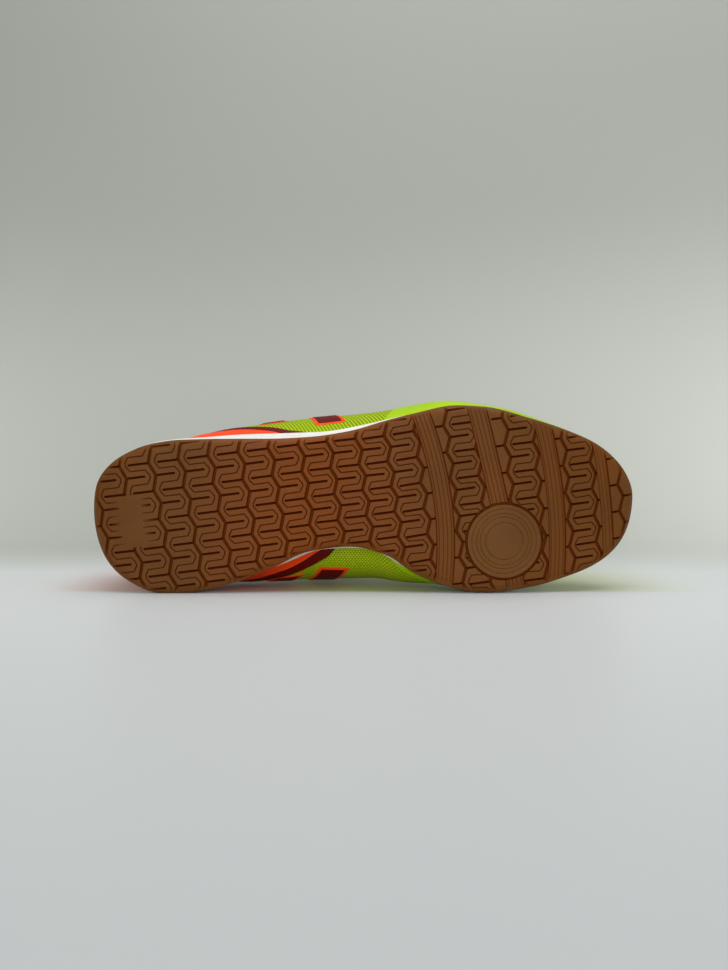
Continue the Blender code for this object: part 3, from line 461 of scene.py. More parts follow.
def sole_loop(distance=0.0, count=SOLE_STEPS):
    """The outsole's outline, grown by a distance."""
    return offset_loop(closed_loop(OUTLINE_CURVES, "inner", "outer", 0.0, LENGTH, count), distance)


def base_loop(distance=0.0, count=SOLE_STEPS):
    """The line where the upper stands on the midsole, grown by a distance."""
    start = LENGTH * HEEL_CURVE(0.0)
    end = LENGTH * TOE_CURVE(0.0)
    return offset_loop(closed_loop(SECTION_CURVES, "base_inner", "base_outer", start, end, count), distance)


def together(*values):
    """The values as arrays of one shape."""
    return np.broadcast_arrays(*(np.asarray(value, float) for value in values))


def surface(share, side, up):
    """Points of the upper's outer face: share of the length, side +1 inner or -1 outer, share of the wall."""
    share, side, up = together(share, side, up)
    angle = angle_of(share)
    heel = HEEL_CURVE(up)
    foot = LENGTH * (HEEL_CURVE(0.0) + share * (TOE_CURVE(0.0) - HEEL_CURVE(0.0)))
    ys = []
    for part in ("base", "low", "high", "top"):
        inner = SECTION_CURVES[f"{part}_inner"](angle)
        outer = SECTION_CURVES[f"{part}_outer"](angle)
        ys.append(WIDTH * np.where(side > 0, inner, outer))
        if part == "top":
            ys[-1] = np.where(share >= THROAT_FRONT, WIDTH * (inner + outer) / 2.0, ys[-1])
    zs = [midsole_top(foot) + GAP]
    zs += [HEIGHT * SECTION_CURVES[f"{part}_height"](angle) for part in ("low", "high", "top")]
    weights = ((1.0 - up) ** 3, 3.0 * up * (1.0 - up) ** 2, 3.0 * up * up * (1.0 - up), up**3)
    x = LENGTH * (heel + share * (TOE_CURVE(up) - heel))
    y = sum(weight * value for weight, value in zip(weights, ys))
    z = sum(weight * value for weight, value in zip(weights, zs))
    return np.stack([x, y, z], axis=-1)


def beyond(angle, side, up):
    """Points that may lie past the heel, the toe or the ridge, and so on the other side."""
    past = (angle < 0.0) | (angle > np.pi)
    angle = np.where(angle < 0.0, -angle, np.where(angle > np.pi, 2.0 * np.pi - angle, angle))
    share = (1.0 - np.cos(angle)) / 2.0
    over = (up > 1.0) & (share >= THROAT_FRONT)
    side = np.where(past != over, -side, side)
    return surface(share, side, np.clip(np.where(over, 2.0 - up, up), 0.0, 1.0))


def unit(vectors):
    """The vectors at length 1."""
    return vectors / np.maximum(np.linalg.norm(vectors, axis=-1, keepdims=True), 1e-12)


def outward(share, side, up):
    """The outward direction of the upper."""
    share, side, up = together(share, side, up)
    turn = 0.01
    angle = angle_of(share)
    along = beyond(angle + turn, side, up) - beyond(angle - turn, side, up)
    upward = beyond(angle, side, up + turn) - beyond(angle, side, up - turn)
    return unit(np.cross(upward, along)) * side[..., None]


def relief(share, up):
    """Height of the soft creases that wear and packing leave in the upper."""
    height = np.zeros(np.broadcast(share, up).shape)
    for along, high, reach, reach_up, size in CREASES:
        height = height + size * np.exp(-(((share - along) / reach) ** 2) - ((up - high) / reach_up) ** 2)
    return height


def lifted(share, side, up, lift=0.0):
    """Points at a distance from the creased upper."""
    return surface(share, side, up) + outward(share, side, up) * (relief(share, up) + lift)[..., None]


def stand_matrix():
    """The matrix that lays the shoe down, worked out from the flat mount under the heel."""
    mount = next(m for m in frame["record"]["mounts"] if m["name"] == "heel_tread")
    up = -Vector(mount["axis"])
    ahead = Vector((up.z, 0.0, -up.x)).normalized()
    turn = Matrix((ahead, up.cross(ahead), up)).transposed().to_4x4()
    return Matrix.Translation(Vector(mount["pos_m"]) - turn @ Vector(MOUNT_PLACE)) @ turn


STAND = stand_matrix()


# Mesh making


def grid_faces(rows, columns, wrap=False):
    """Quads of a grid of points that are numbered row by row."""
    numbers = np.arange(rows * columns).reshape(rows, columns)
    if wrap:
        numbers = np.hstack([numbers, numbers[:, :1]])
    corners = (numbers[:-1, :-1], numbers[:-1, 1:], numbers[1:, 1:], numbers[1:, :-1])
    return np.stack(corners, axis=-1).reshape(-1, 4).tolist()


def two_skins(top, bottom, borders=(), wrap=False):
    """Points and faces of two grids back to back, joined along runs of point numbers."""
    rows, columns = top.shape[:2]
    size = rows * columns
    faces = grid_faces(rows, columns, wrap)
    faces += [[k + size for k in face[::-1]] for face in faces]
    for border in borders:
        faces += [[first, second, second + size, first + size] for first, second in zip(border, border[1:])]
    return np.vstack([top.reshape(-1, 3), bottom.reshape(-1, 3)]), faces


def add_object(name, data):
    """Adds an object to the scene."""
    made = bpy.data.objects.new(name, data)
    bpy.context.scene.collection.objects.link(made)
    return made


def solid(name, form, looks, slot, nodes=(), weave=None, tones=0.0, picks=0, merge=0.0, sharp=40.0):
    """Makes a piece from points and faces in the shoe's frame, lays it down and hides the imported parts that
    it stands for.

    Each point carries flat coordinates and a tone for the looks. They repeat where a second skin follows.
    """
    points, faces = form
    flat = points if weave is None else np.reshape(weave, (-1, 3))
    mesh = bpy.data.meshes.new(name)
    mesh.from_pydata(points.tolist(), [], faces)
    layer = mesh.attributes.new("weave", "FLOAT_VECTOR", "POINT")
    layer.data.foreach_set("vector", np.resize(flat, points.shape).ravel())
    layer = mesh.attributes.new("tone", "FLOAT", "POINT")
    layer.data.foreach_set("value", np.resize(tones, len(points)))
    mesh.polygons.foreach_set("material_index", np.resize(picks, len(faces)))
    bm = bmesh.new()
    bm.from_mesh(mesh)
    if merge:
        bmesh.ops.remove_doubles(bm, verts=bm.verts, dist=merge)
    bmesh.ops.recalc_face_normals(bm, faces=bm.faces)
    bm.to_mesh(mesh)
    bm.free()
    mesh.transform(STAND)
    for look in looks:
        mesh.materials.append(look)
    mesh.shade_smooth()
    mesh.set_sharp_from_angle(angle=math.radians(sharp))
    piece = add_object(name, mesh)
    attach(piece, "root")
    if nodes:
        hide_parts(*nodes)
    return piece


def with_edges(count, margin):
    """Even steps from 0 to 1 with one narrow step at either end."""
    return np.concatenate([[0.0], np.linspace(margin, 1.0 - margin, count - 1), [1.0]])


def arc_lengths(grid, axis):
    """How far each point of a grid lies along its row or column."""
    first = np.take(grid, [0], axis=axis)
    return np.cumsum(np.linalg.norm(np.diff(grid, axis=axis, prepend=first), axis=-1), axis=axis)


def film(name, share, side, up, look, slot, nodes=(), lift=FILM_LIFT, thickness=FILM_THICKNESS, merge=0.0):
    """A closed thin film on the upper over a grid of places, thinner along its edges."""
    share, side, up = together(share, side, up)
    profile = np.full(share.shape, FILM_EDGE)
    profile[1:-1, 1:-1] = 1.0
    ground = lifted(share, side, up, lift)
    top = ground + outward(share, side, up) * (thickness * profile)[..., None]
    numbers = np.arange(share.size).reshape(share.shape)
    border = [*numbers[0], *numbers[1:, -1], *numbers[-1, -2::-1], *numbers[-2::-1, 0]]
    flat = np.stack([ground[..., 0], ground[..., 2], side * SIDE_APART], axis=-1)
    return solid(name, two_skins(top, ground, [border]), [look], slot, nodes, weave=flat, merge=merge)


# Materials


class Look:
    """A material and short ways to add nodes to it."""

    def __init__(self, name, color, roughness, **settings):
        self.material = bpy.data.materials.new(name)
        self.material.use_nodes = True
        self.tree = self.material.node_tree
        self.shader = self.tree.nodes["Principled BSDF"]
        self.set(Base_Color=(*color, 1.0), Roughness=roughness, **settings)

    def put(self, node, key, value):
        """Sets an input or links a socket into it."""
        socket = node.inputs[key]
        if isinstance(value, bpy.types.NodeSocket):
            self.tree.links.new(value, socket)
        else:
            socket.default_value = value

    def set(self, **settings):
        """Sets inputs of the shader itself."""
        for key, value in settings.items():
            self.put(self.shader, key.replace("_", " "), value)

    def node(self, kind, inputs=(), **settings):
        """Adds a node."""
        made = self.tree.nodes.new("ShaderNode" + kind)
        for key, value in settings.items():
            setattr(made, key, value)
        for key, value in dict(inputs).items():
            self.put(made, key, value)
        return made

    def math(self, operation, first, second=0.0):
        """The result of a sum on one or two values."""
        return self.node("Math", {0: first, 1: second}, operation=operation).outputs[0]

    def times(self, first, second):
        """The product of two values."""
        return self.math("MULTIPLY", first, second)

    def carried(self, name):
        """What each point of a piece carries: its flat coordinates or its tone."""
        return self.node("Attribute", attribute_name=name)

    def place(self):
        """The piece's place in the row frame."""
        return self.node("TexCoord").outputs["Object"]

    def split(self, vector):
        """The three numbers of a vector."""
        return self.node("SeparateXYZ", {"Vector": vector}).outputs

    def noise(self, scale, detail=3.0, vector=None):
        """A cloudy value between 0 and 1."""
        vector = self.place() if vector is None else vector
        inputs = {"Vector": vector, "Scale": scale, "Detail": detail, "Roughness": 0.55}
        return self.node("TexNoise", inputs).outputs["Fac"]

    def ribs(self, turn, pitch):
        """Even ribs of one pitch, turned by an angle in the flat coordinates, between -1 and 1."""
        inputs = {"Vector": self.carried("weave").outputs["Vector"], "Rotation": (0.0, 0.0, turn)}
        across = self.split(self.node("Mapping", inputs).outputs["Vector"])["X"]
        return self.math("SINE", self.times(across, 2.0 * math.pi / pitch))

    def spread(self, value, low, high, to_low=0.0, to_high=1.0):
        """A value brought from one span to another."""
        inputs = {"Value": value, "From Min": low, "From Max": high, "To Min": to_low, "To Max": to_high}
        return self.node("MapRange", inputs).outputs["Result"]

    def mix(self, share, first, second):
        """A colour between two colours."""
        made = self.node("Mix", data_type="RGBA")
        for key, value in ((0, share), (6, first), (7, second)):
            value = (*value, 1.0) if isinstance(value, tuple) and len(value) == 3 else value
            self.put(made, key, value)
        return made.outputs[2]

    def clouds(self, scale, detail, low, high, first, second, most=1.0):
        """A colour that turns into another one in soft clouds."""
        return self.mix(self.spread(self.noise(scale, detail), low, high, 0.0, most), first, second)

    def raised(self, *layers):
        """Raises the surface by layers, the finest first: height value, distance and strength of each."""
        inputs = {}
        for height, distance, strength in layers:
            inputs.update(Height=height, Distance=distance, Strength=strength)
            inputs["Normal"] = self.node("Bump", inputs).outputs["Normal"]
        self.set(Normal=inputs["Normal"])


def make_gum():
    """Gum rubber: warm brown, redder towards the waist, with a fine satin grain; the cuts get painted shade,
    turning darker, redder and less shiny with their tone.
    """
    look = Look("gum_rubber", (0.11, 0.036, 0.009), 0.48)
    depth = look.carried("tone").outputs["Fac"]
    block = look.clouds(26.0, 4.0, 0.35, 0.7, (0.114, 0.0440, 0.0078), (0.152, 0.0550, 0.0088))
    along = look.split(look.carried("weave").outputs["Vector"])["X"]
    waist = look.times(look.spread(along, 0.050, 0.105), look.spread(along, 0.185, 0.120))
    block = look.mix(look.times(waist, 0.70), block, (0.225, 0.048, 0.0020))
    # Painted shade in the cuts: the tone carried from the tread turns the colour darker and redder and lowers
    # the shine
    cut = look.mix(look.spread(depth, 0.05, 0.50), block, (0.138, 0.034, 0.0038))
    look.set(
        Base_Color=look.mix(look.spread(depth, 0.50, 1.0), cut, (0.070, 0.008, 0.0010)),
        Specular_IOR_Level=look.spread(depth, 0.05, 0.60, 0.17, 0.02),
        Roughness=look.spread(look.noise(120.0), 0.3, 0.7, 0.42, 0.56),
    )
    look.raised((look.noise(2600.0, 2.0), 0.00005, 0.5), (look.noise(340.0, 4.0), 0.00008, 0.5))
    return look.material


def make_foam():
    """Moulded white foam with a fine pebbled skin and a trace of use."""
    look = Look("white_foam", (0.78, 0.77, 0.73), 0.55, Specular_IOR_Level=0.35)
    look.set(Base_Color=look.clouds(45.0, 5.0, 0.3, 0.75, (0.82, 0.81, 0.78), (0.70, 0.69, 0.65)))
    cells = look.node("TexVoronoi", {"Vector": look.place(), "Scale": 1500.0}).outputs["Distance"]
    look.raised((cells, 0.00008, 0.5), (look.noise(220.0), 0.00010, 0.4))
    return look.material


def make_knit():
    """Knitted upper: slanted ribs on the outer side and staggered dots on the inner side, whose colours are
    painted lighter to stand in for light bounced up from the floor.
    """
    look = Look("lime_knit", (0.40, 0.56, 0.02), 0.72, Sheen_Weight=0.02, Specular_IOR_Level=0.10)
    look.set(Sheen_Roughness=0.5)
    ribs, stitches, *dots = [look.ribs(math.radians(turn), pitch) for turn, pitch in KNIT_ROWS]
    outer = look.spread(look.math("ADD", ribs, look.times(stitches, 0.45)), -1.45, 1.45)
    inner = look.spread(look.math("ADD", look.math("ADD", dots[0], dots[1]), dots[2]), -1.5, 2.6)
    share = look.spread(look.carried("tone").outputs["Fac"], 0.35, 0.65)
    height = look.node("Mix", {0: share, 2: outer, 3: inner}, data_type="FLOAT").outputs[0]
    outer_color = look.mix(outer, (0.085, 0.150, 0.002), (0.520, 0.680, 0.006))
    # Painted light: the inner side's dotted knit is coloured lighter than the outer side's, for the bounce
    # light from the floor
    inner_color_painted_lighter = look.mix(inner, (0.170, 0.255, 0.002), (0.640, 0.780, 0.004))
    plain = look.mix(share, outer_color, inner_color_painted_lighter)
    look.set(Base_Color=look.clouds(30.0, 3.0, 0.3, 0.8, plain, (0.26, 0.40, 0.004), 0.25))
    yarn = look.noise(5200.0, 2.0, look.carried("weave").outputs["Vector"])
    look.raised((yarn, 0.00010, 0.5), (height, 0.00045, 0.9))
    return look.material


def make_lining():
    """Soft grey textile inside the shoe."""
    look = Look("grey_textile", (0.10, 0.10, 0.11), 0.9, Sheen_Weight=0.4)
    mesh = look.times(look.ribs(0.6, 0.0012), look.ribs(-0.6, 0.0012))
    plain = look.mix(look.spread(mesh, -1.0, 1.0), (0.055, 0.055, 0.062), (0.150, 0.150, 0.160))
    look.set(Base_Color=look.clouds(60.0, 4.0, 0.3, 0.8, plain, (0.19, 0.19, 0.20), 0.4))
    look.raised((look.noise(3000.0, 2.0), 0.0001, 0.5), (mesh, 0.00022, 0.7))
    return look.material


def make_film(name, bright, deep, roughness, coat):
    """Smooth welded film with a faint orange-peel skin and darker clouds."""
    look = Look(name, bright, roughness, Coat_Weight=coat, Coat_Roughness=0.18, Specular_IOR_Level=0.14)
    look.set(
        Base_Color=look.clouds(38.0, 4.0, 0.35, 0.8, bright, deep),
        Roughness=look.spread(look.noise(150.0), 0.3, 0.7, roughness - 0.05, roughness + 0.08),
    )
    look.raised((look.noise(1400.0), 0.00005, 0.4), (look.noise(160.0), 0.00012, 0.35))
    return look.material


def make_lace_look():
    """Flat woven lace with a slanted twill."""
    look = Look("orange_lace", (0.85, 0.10, 0.02), 0.8, Sheen_Weight=0.04)
    twill = look.math("MAXIMUM", look.ribs(0.75, 0.0010), look.ribs(-0.75, 0.0010))
    look.set(Base_Color=look.mix(look.spread(twill, -0.6, 1.0), (0.42, 0.040, 0.006), (0.92, 0.115, 0.014)))
    look.raised((twill, 0.00018, 0.8))
    return look.material


GUM = make_gum()
FOAM = make_foam()
KNIT = make_knit()
LINING = make_lining()
NEON = make_film("neon_film", (0.370, 0.580, 0.001), (0.310, 0.500, 0.001), 0.38, 0.03)
ORANGE = make_film("orange_film", (0.950, 0.066, 0.006), (0.860, 0.050, 0.004), 0.42, 0.05)
MAROON = make_film("maroon_film", (0.125, 0.001, 0.001), (0.085, 0.001, 0.001), 0.50, 0.0)
LACE = make_lace_look()


# Outsole


def tread_value(number, column):
    """A column's value, read between the rows of the tread table."""
    return np.interp(number, [row[0] for row in TREAD_TABLE], [row[column] for row in TREAD_TABLE])


def corner(number, row):
    """A right-hand corner of a zigzag groove, in millimetres, also between whole columns and rows."""
    x = LENGTH * (tread_value(number, 1) + row * tread_value(number, 3))
    y = WIDTH * (tread_value(number, 2) + row * tread_value(number, 4))
    return np.array([x, y]) * MM


def row_direction(number):
    """The direction of the bars beside a column."""
    return unit(corner(number + 1, 0) - corner(number - 1, 0))


def left_corner(number, row):
    """A left-hand corner of a zigzag groove, between two right-hand ones."""
    middle = corner(number, row) + (corner(number, row + 1) - corner(number, row)) * TREAD_LEFT_CORNER
    return middle - row_direction(number) * ZIGZAG_SWING


def chamfered(points, cuts):
    """The line with each inner corner cut off. The two reaches take turns from run to run."""
    line = [points[0]]
    for k, (before, here, after) in enumerate(zip(points, points[1:], points[2:])):
        line.append(here + unit(before - here) * cuts[k % 2])
        line.append(here + unit(after - here) * cuts[(k + 1) % 2])
    return line + [points[-1]]


def sipe_line(number):
    """The thin cut that winds round the bars between one column and the next."""
    pitch = float(np.linalg.norm(corner(number + 1, 0) - corner(number, 0)))
    line = [corner(number + along / pitch, row + ahead) for row in TREAD_ROWS for along, ahead in SIPE_WAY]
    return chamfered(line, SIPE_CHAMFERS)


def channel_line(outer, middle, inner):
    """The middle line of a flex channel, in millimetres."""
    bend = np.polyfit(CHANNEL_ACROSS, (outer, middle, inner), 2)
    across = np.linspace(*CHANNEL_REACH, 25)
    return np.column_stack([LENGTH * np.polyval(bend, across), WIDTH * across]) * MM


def line_offset(line, distance):
    """An open line moved to its left by a distance."""
    line = np.asarray(line, float)
    along = unit(np.diff(line, axis=0))
    before = np.vstack([along[:1], along])
    after = np.vstack([along, along[-1:]])
    middle = unit(before + after)
    reach = distance / np.maximum(0.5, np.sum(middle * before, axis=1))
    return line + np.column_stack([-middle[:, 1], middle[:, 0]]) * reach[:, None]


def band_outline(line, reach, round_end=True):
    """The outline of a band of even half width, with a round far end."""
    end = []
    if round_end:
        way = unit(line[-1] - line[-2])
        side = np.array([-way[1], way[0]])
        turns = np.linspace(0.0, np.pi, BAND_END_STEPS + 1)[1:-1, None]
        end = [line[-1] + (side * np.cos(turns) + way * np.sin(turns)) * reach]
    return np.vstack([line_offset(line, reach), *end, line_offset(line, -reach)[::-1]])


def circle_outline(centre, radius, count):
    """Points of a circle."""
    turns = np.linspace(0.0, 2.0 * np.pi, count, endpoint=False)
    return centre + radius * np.column_stack([np.cos(turns), np.sin(turns)])


def distance_to_line(points, line, closed=False):
    """How far points lie from a line of straight runs."""
    ends = np.vstack([line, line[:1]]) if closed else line
    nearest = np.full(len(points), 1e9)
    for start, end in zip(ends, ends[1:]):
        along = end - start
        t = np.clip((points - start) @ along / max(along @ along, 1e-12), 0.0, 1.0)
        gap = points - start - t[:, None] * along
        nearest = np.minimum(nearest, np.hypot(gap[:, 0], gap[:, 1]))
    return nearest


def inside_outline(points, outline):
    """Which points lie inside a closed outline."""
    inside = np.zeros(len(points), bool)
    x, y = points[:, 0], points[:, 1]
    for k in range(len(outline)):
        (x0, y0), (x1, y1) = outline[k - 1], outline[k]
        crosses = (y0 > y) != (y1 > y)
        with np.errstate(divide="ignore", invalid="ignore"):
            inside ^= crosses & (x < (x1 - x0) * (y - y0) / (y1 - y0) + x0)
    return inside


class Cut:
    """A groove along a line: half width, depth and how its walls slope."""

    def __init__(self, line, half, depth, kind, wall=CUT_WALL, lip=LIP, round_end=True):
        self.line = np.asarray(line, float)
        self.half = half
        self.depth = depth
        self.kind = kind
        self.wall = wall
        self.lip = lip
        self.round_end = round_end

    def contours(self):
        """Outlines at the distances where the groove's profile bends."""
        reaches = (self.half + self.lip, self.half, self.half - self.wall)
        return [band_outline(self.line, reach, self.round_end) for reach in reaches]

    def depth_at(self, points):
        """The groove's depth at points."""
        low = self.line.min(axis=0) - self.half - self.lip
        high = self.line.max(axis=0) + self.half + self.lip
        near = np.all((points > low) & (points < high), axis=1)
        depth = np.zeros(len(points))
        if near.any():
            distance = distance_to_line(points[near], self.line)
            floor = max(self.half - self.wall, 0.0)
            places = [floor, self.half, self.half + self.lip]
            at_lip = min(LIP_DEPTH, self.depth * LIP_SHARE)
            depth[near] = np.interp(distance, places, [self.depth, at_lip, 0.0])
        return depth


def tread_cuts():
    """Every zigzag, bar and thin cut of the tread."""
    cuts = []
    numbers = range(TREAD_TABLE[0][0], TREAD_TABLE[-1][0])
    for number in numbers:
        way = row_direction(number)
        right_bar = SHORT_BAR if number in COLUMNS_BEFORE_CHANNEL else RIGHT_BAR
        left_bar = SHORT_BAR if number in COLUMNS_AFTER_CHANNEL else LEFT_BAR
        zigzag = []
        for row in TREAD_ROWS:
            for start, bar in ((corner(number, row), right_bar), (left_corner(number, row), -left_bar)):
                zigzag.append(start)
                cuts.append(Cut([start, start + way * bar], BAR_HALF, TREAD_DEPTH, "bar"))
        cuts.append(Cut(zigzag, ZIGZAG_HALF, TREAD_DEPTH, "zigzag", round_end=False))
        if number + 1 in numbers and number not in COLUMNS_BEFORE_CHANNEL:
            thin = {"wall": SIPE_WALL, "lip": SIPE_LIP, "round_end": False}
            cuts.append(Cut(sipe_line(number), SIPE_HALF, SIPE_DEPTH, "sipe", **thin))
    return cuts


class Tread:
    """The fine tread: one surface over the sole's plan, cut along every line where it bends."""

    def __init__(self):
        self.rim = sole_loop() * MM
        self.cuts = tread_cuts()
        self.channels = [(channel_line(*row[:3]), row[3] * LENGTH * MM / 2.0) for row in CHANNELS]
        self.centre = np.array([DISC_CENTRE[0] * LENGTH, DISC_CENTRE[1] * WIDTH]) * MM
        self.pad = np.array([(x * LENGTH, y * WIDTH) for x, y in HEEL_PAD]) * MM
        self.groove = (DISC_RADIUS - DISC_GROOVE_HALF, DISC_RADIUS + DISC_GROOVE_HALF)
        self.points, self.triangles = self.divide()
        self.raise_points()

    def channel_lines(self, line, half):
        """The fine lines that run along a channel's floor."""
        return [line_offset(line, place) for place in CHANNEL_LINES if abs(place) < half - LINE_MARGIN]

    def lines(self):
        """All lines along which the surface bends: closed outlines, then open lines."""
        closed = [self.rim, self.pad[::-1]]
        closed += [sole_loop(-inset / MM, 80) * MM for inset in RIM_LINES]
        for cut in self.cuts:
            closed += cut.contours()
        circles = [(radius, (-LIP, LIP), 96) for radius in self.groove]
        circles += [(radius, (-RING_HALF, 0.0, RING_HALF), 80) for radius in DISC_RINGS]
        for radius, shifts, count in circles:
            closed += [circle_outline(self.centre, radius + shift, count) for shift in shifts]
        open_lines = []
        for line, half in self.channels:
            for reach in (half + LIP, half - CHANNEL_WALL, half - CHANNEL_EDGE):
                open_lines += [line_offset(line, -reach), line_offset(line, reach)]
            for fine in self.channel_lines(line, half):
                open_lines += [line_offset(fine, shift) for shift in (-LINE_HALF, 0.0, LINE_HALF)]
        return closed, open_lines

    def divide(self):
        """Triangles over the whole plan."""
        points = []
        edges = []
        for lines, gap in zip(self.lines(), (0, 1)):
            for line in lines:
                start = len(points)
                count = len(line)
                points += line.tolist()
                edges += [(start + k, start + (k + 1) % count) for k in range(count - gap)]
        across, along = np.meshgrid(np.arange(*PLAN_ACROSS, PLAN_STEP), np.arange(*PLAN_ALONG, PLAN_STEP))
        loose = np.column_stack([along.ravel(), across.ravel()])
        points += loose[inside_outline(loose, self.rim)].tolist()
        cut = delaunay_2d_cdt([Vector(p) for p in points], edges, [], 0, 1e-4)
        plan = np.array([(p.x, p.y) for p in cut[0]])
        triangles = np.array([face for face in cut[2] if len(face) == 3])
        middle = plan[triangles].mean(axis=1)
        kept = triangles[inside_outline(middle, self.rim)]
        used = np.unique(kept)
        number = np.zeros(len(plan), int)
        number[used] = np.arange(len(used))
        return plan[used], number[kept]

    def raise_points(self):
        """Depth of the tread at each point, in millimetres, and how much painted shade the cuts, channels and
        rings get there.
        """
        points = self.points
        rim_gap = distance_to_line(points, self.rim, closed=True)
        groove, thin, dark, channel, lines, edge, rings = np.zeros((7, len(points)))
        for cut in self.cuts:
            depth = cut.depth_at(points)
            if cut.kind == "sipe":
                thin = np.maximum(thin, depth)
            else:
                groove = np.maximum(groove, depth)
                # Painted shade of each cut, by its kind
                dark = np.maximum(dark, depth * CUT_SHADES[cut.kind])
        for line, half in self.channels:
            gap = distance_to_line(points, line)
            walls = [half - CHANNEL_EDGE, half - CHANNEL_WALL, half + LIP]
            channel = np.maximum(channel, np.interp(gap, walls, [1.0, 1.0, 0.0]))
            edge = np.maximum(edge, np.interp(gap, walls, EDGE_SHADES))
            for fine in self.channel_lines(line, half):
                beside = distance_to_line(points, fine)
                lines = np.maximum(lines, np.interp(beside, [0.0, LINE_HALF], [LINE_HEIGHT, 0.0]))
        from_disc = np.hypot(*(points - self.centre).T)
        inner, outer = self.groove
        outside_disc = np.interp(from_disc, [outer - LIP, outer + LIP], [0.0, 1.0])
        ring = np.interp(from_disc, [inner - LIP, inner + LIP], [0.0, 1.0]) - outside_disc
        for radius in DISC_RINGS:
            beside = np.abs(from_disc - radius)
            rings = np.maximum(rings, np.interp(beside, [0.0, RING_HALF], [RING_HEIGHT, 0.0]))
        pad_gap = distance_to_line(points, self.pad, closed=True)
        bare = inside_outline(points, self.pad) | (pad_gap < 1e-3)
        groove, thin, dark = np.where(bare, 0.0, [groove, thin, dark])

        depth = np.maximum(groove, thin) * (1.0 - channel)
        depth = np.maximum(depth, channel * (CHANNEL_DEPTH + lines))
        depth = np.maximum(depth * outside_disc, ring * TREAD_DEPTH)
        depth = np.where(from_disc < inner, rings, depth)
        fade = ramp(rim_gap, *RIM_FADE)
        fade = fade * fade * (3.0 - 2.0 * fade)
        rise = RIM_LIFT * ramp(rim_gap, RIM_REACH, 0.0) ** RIM_CURVE
        self.heights = rise + depth * fade
        # Painted shade: darker at the foot of the channels' walls, along their fine lines, in the disc's rings
        # and groove and in the narrow cuts, with less of it near the rim
        bands = np.maximum(channel * (CHANNEL_TONE + LINE_SHADE * lines), edge * EDGE_SHADE) * outside_disc
        recess = np.where(from_disc < inner, np.maximum(bands, rings * RING_SHADE), bands)
        cuts = np.maximum(dark, thin * SIPE_SHADE) * (1.0 - channel) * outside_disc
        tones = np.maximum.reduce([cuts, ring * GROOVE_SHADE, recess])
        self.tones = tones * (RIM_TONE + (1.0 - RIM_TONE) * fade)


def rim_order(triangles):
    """The points of a surface's rim, in order round it."""
    sides = {(face[k - 1], face[k]) for face in triangles for k in range(3)}
    follows = {first: second for first, second in sides if (second, first) not in sides}
    order = [min(follows)]
    while follows[order[-1]] != order[0]:
        order.append(follows[order[-1]])
    return order


def make_outsole():
    """Gum outsole with its tread, its rounded rim, its side wall and its upper face."""
    tread = Tread()
    plan = tread.points / MM
    low = np.column_stack([plan, tread_height(plan[:, 0]) + tread.heights / MM])
    triangles = tread.triangles.tolist()
    ring = rim_order(triangles)
    size = len(ring)
    edge = plan[ring]
    start = low[ring, 2]
    end = gum_top(edge[:, 0])
    bulge = offset_loop(edge[::-1], SIDE_BULGE / MM)[::-1]
    points = [low]
    faces = [face[::-1] for face in triangles]
    for share in SIDE_SHARES:
        above = [len(low) + (len(points) - 1) * size + k for k in range(size)]
        faces += [[ring[k - 1], ring[k], above[k], above[k - 1]] for k in range(size)]
        points.append(np.column_stack([bulge if share < 1.0 else edge, start + (end - start) * share]))
        ring = above
    top = delaunay_2d_cdt([Vector(p) for p in edge * MM], [], [list(range(size))], 1, 1e-4)
    faces += [[ring[top[3][number][0]] for number in corners] for corners in top[2]]
    tones = np.concatenate([tread.tones, np.full(size * len(SIDE_SHARES), SIDE_TONE)])
    form = (np.vstack(points), faces)
    return solid("outsole_gum", form, [GUM], "gum_rubber", ["outsole"], tones=tones, sharp=32.0)


# Midsole and insole


def make_midsole():
    """Foam midsole with a soft belly and one fine line moulded into its side."""
    bottom = sole_loop(-MIDSOLE_LEDGE)
    top = base_loop(MIDSOLE_LEDGE)
    foot = gum_top(bottom[:, 0]) + GAP
    head = midsole_top(top[:, 0])
    around = bottom[:, 0] / LENGTH
    waist = np.interp(around, WAIST_FLARE_PLACES, [0.0, 1.0, 1.0, 0.0]) * (bottom[:, 1] > 0.0)
    heel = np.interp(around, HEEL_FLARE_PLACES, [0.0, 1.0, 1.0, 0.0]) * (bottom[:, 1] < 0.0)
    flare = MIDSOLE_LEDGE * 0.9 + WAIST_FLARE * waist + HEEL_FLARE * heel
    rings = []
    for share, belly in BELLY:
        loop = offset_loop(bottom + (top - bottom) * share, flare * belly)
        rings.append(np.column_stack([loop, foot + (head - foot) * share]))
    count = len(bottom)
    faces = grid_faces(len(rings), count, wrap=True)
    for start in (0, (len(rings) - 1) * count):
        for k in range(count // 2):
            corners = (k, k + 1, (count - k - 1) % count, (count - k) % count)
            faces.append(list(dict.fromkeys(start + corner_number for corner_number in corners)))
    return solid("midsole_foam", (np.vstack(rings), faces), [FOAM], "white_foam", ["midsole"])


def make_insole():
    """Insole with a fabric face and a slightly cupped edge."""
    edge = base_loop(-UPPER_WALL - 2.0 * GAP, 60)
    half = len(edge) // 2
    inner = edge[:half + 1]
    outer = np.vstack([edge[:1], edge[:half - 1:-1]])
    across = np.linspace(0.0, 1.0, 17)
    plan = inner[:, None] + (outer - inner)[:, None] * across[:, None]
    floor = midsole_top(plan[..., 0]) + GAP
    cup = INSOLE_CUP * np.abs(2.0 * across - 1.0) ** 4
    top = np.dstack([plan, floor + INSOLE_THICKNESS + cup])
    numbers = np.arange(floor.size).reshape(floor.shape)
    form = two_skins(top, np.dstack([plan, floor]), (numbers[:, 0], numbers[::-1, -1]))
    return solid("insole_fabric", form, [LINING], "grey_textile", ["insole"], merge=2e-5)


# Upper


def wall_thickness(share, top_height, z):
    """Thickness of the upper's wall, which is padded round the collar."""
    high = ramp(z, top_height - PADDING_DEPTH * HEIGHT, top_height)
    return UPPER_WALL + (COLLAR_WALL - UPPER_WALL) * high * ramp(share, THROAT_TOP, THROAT_TOP - PADDING_FADE)


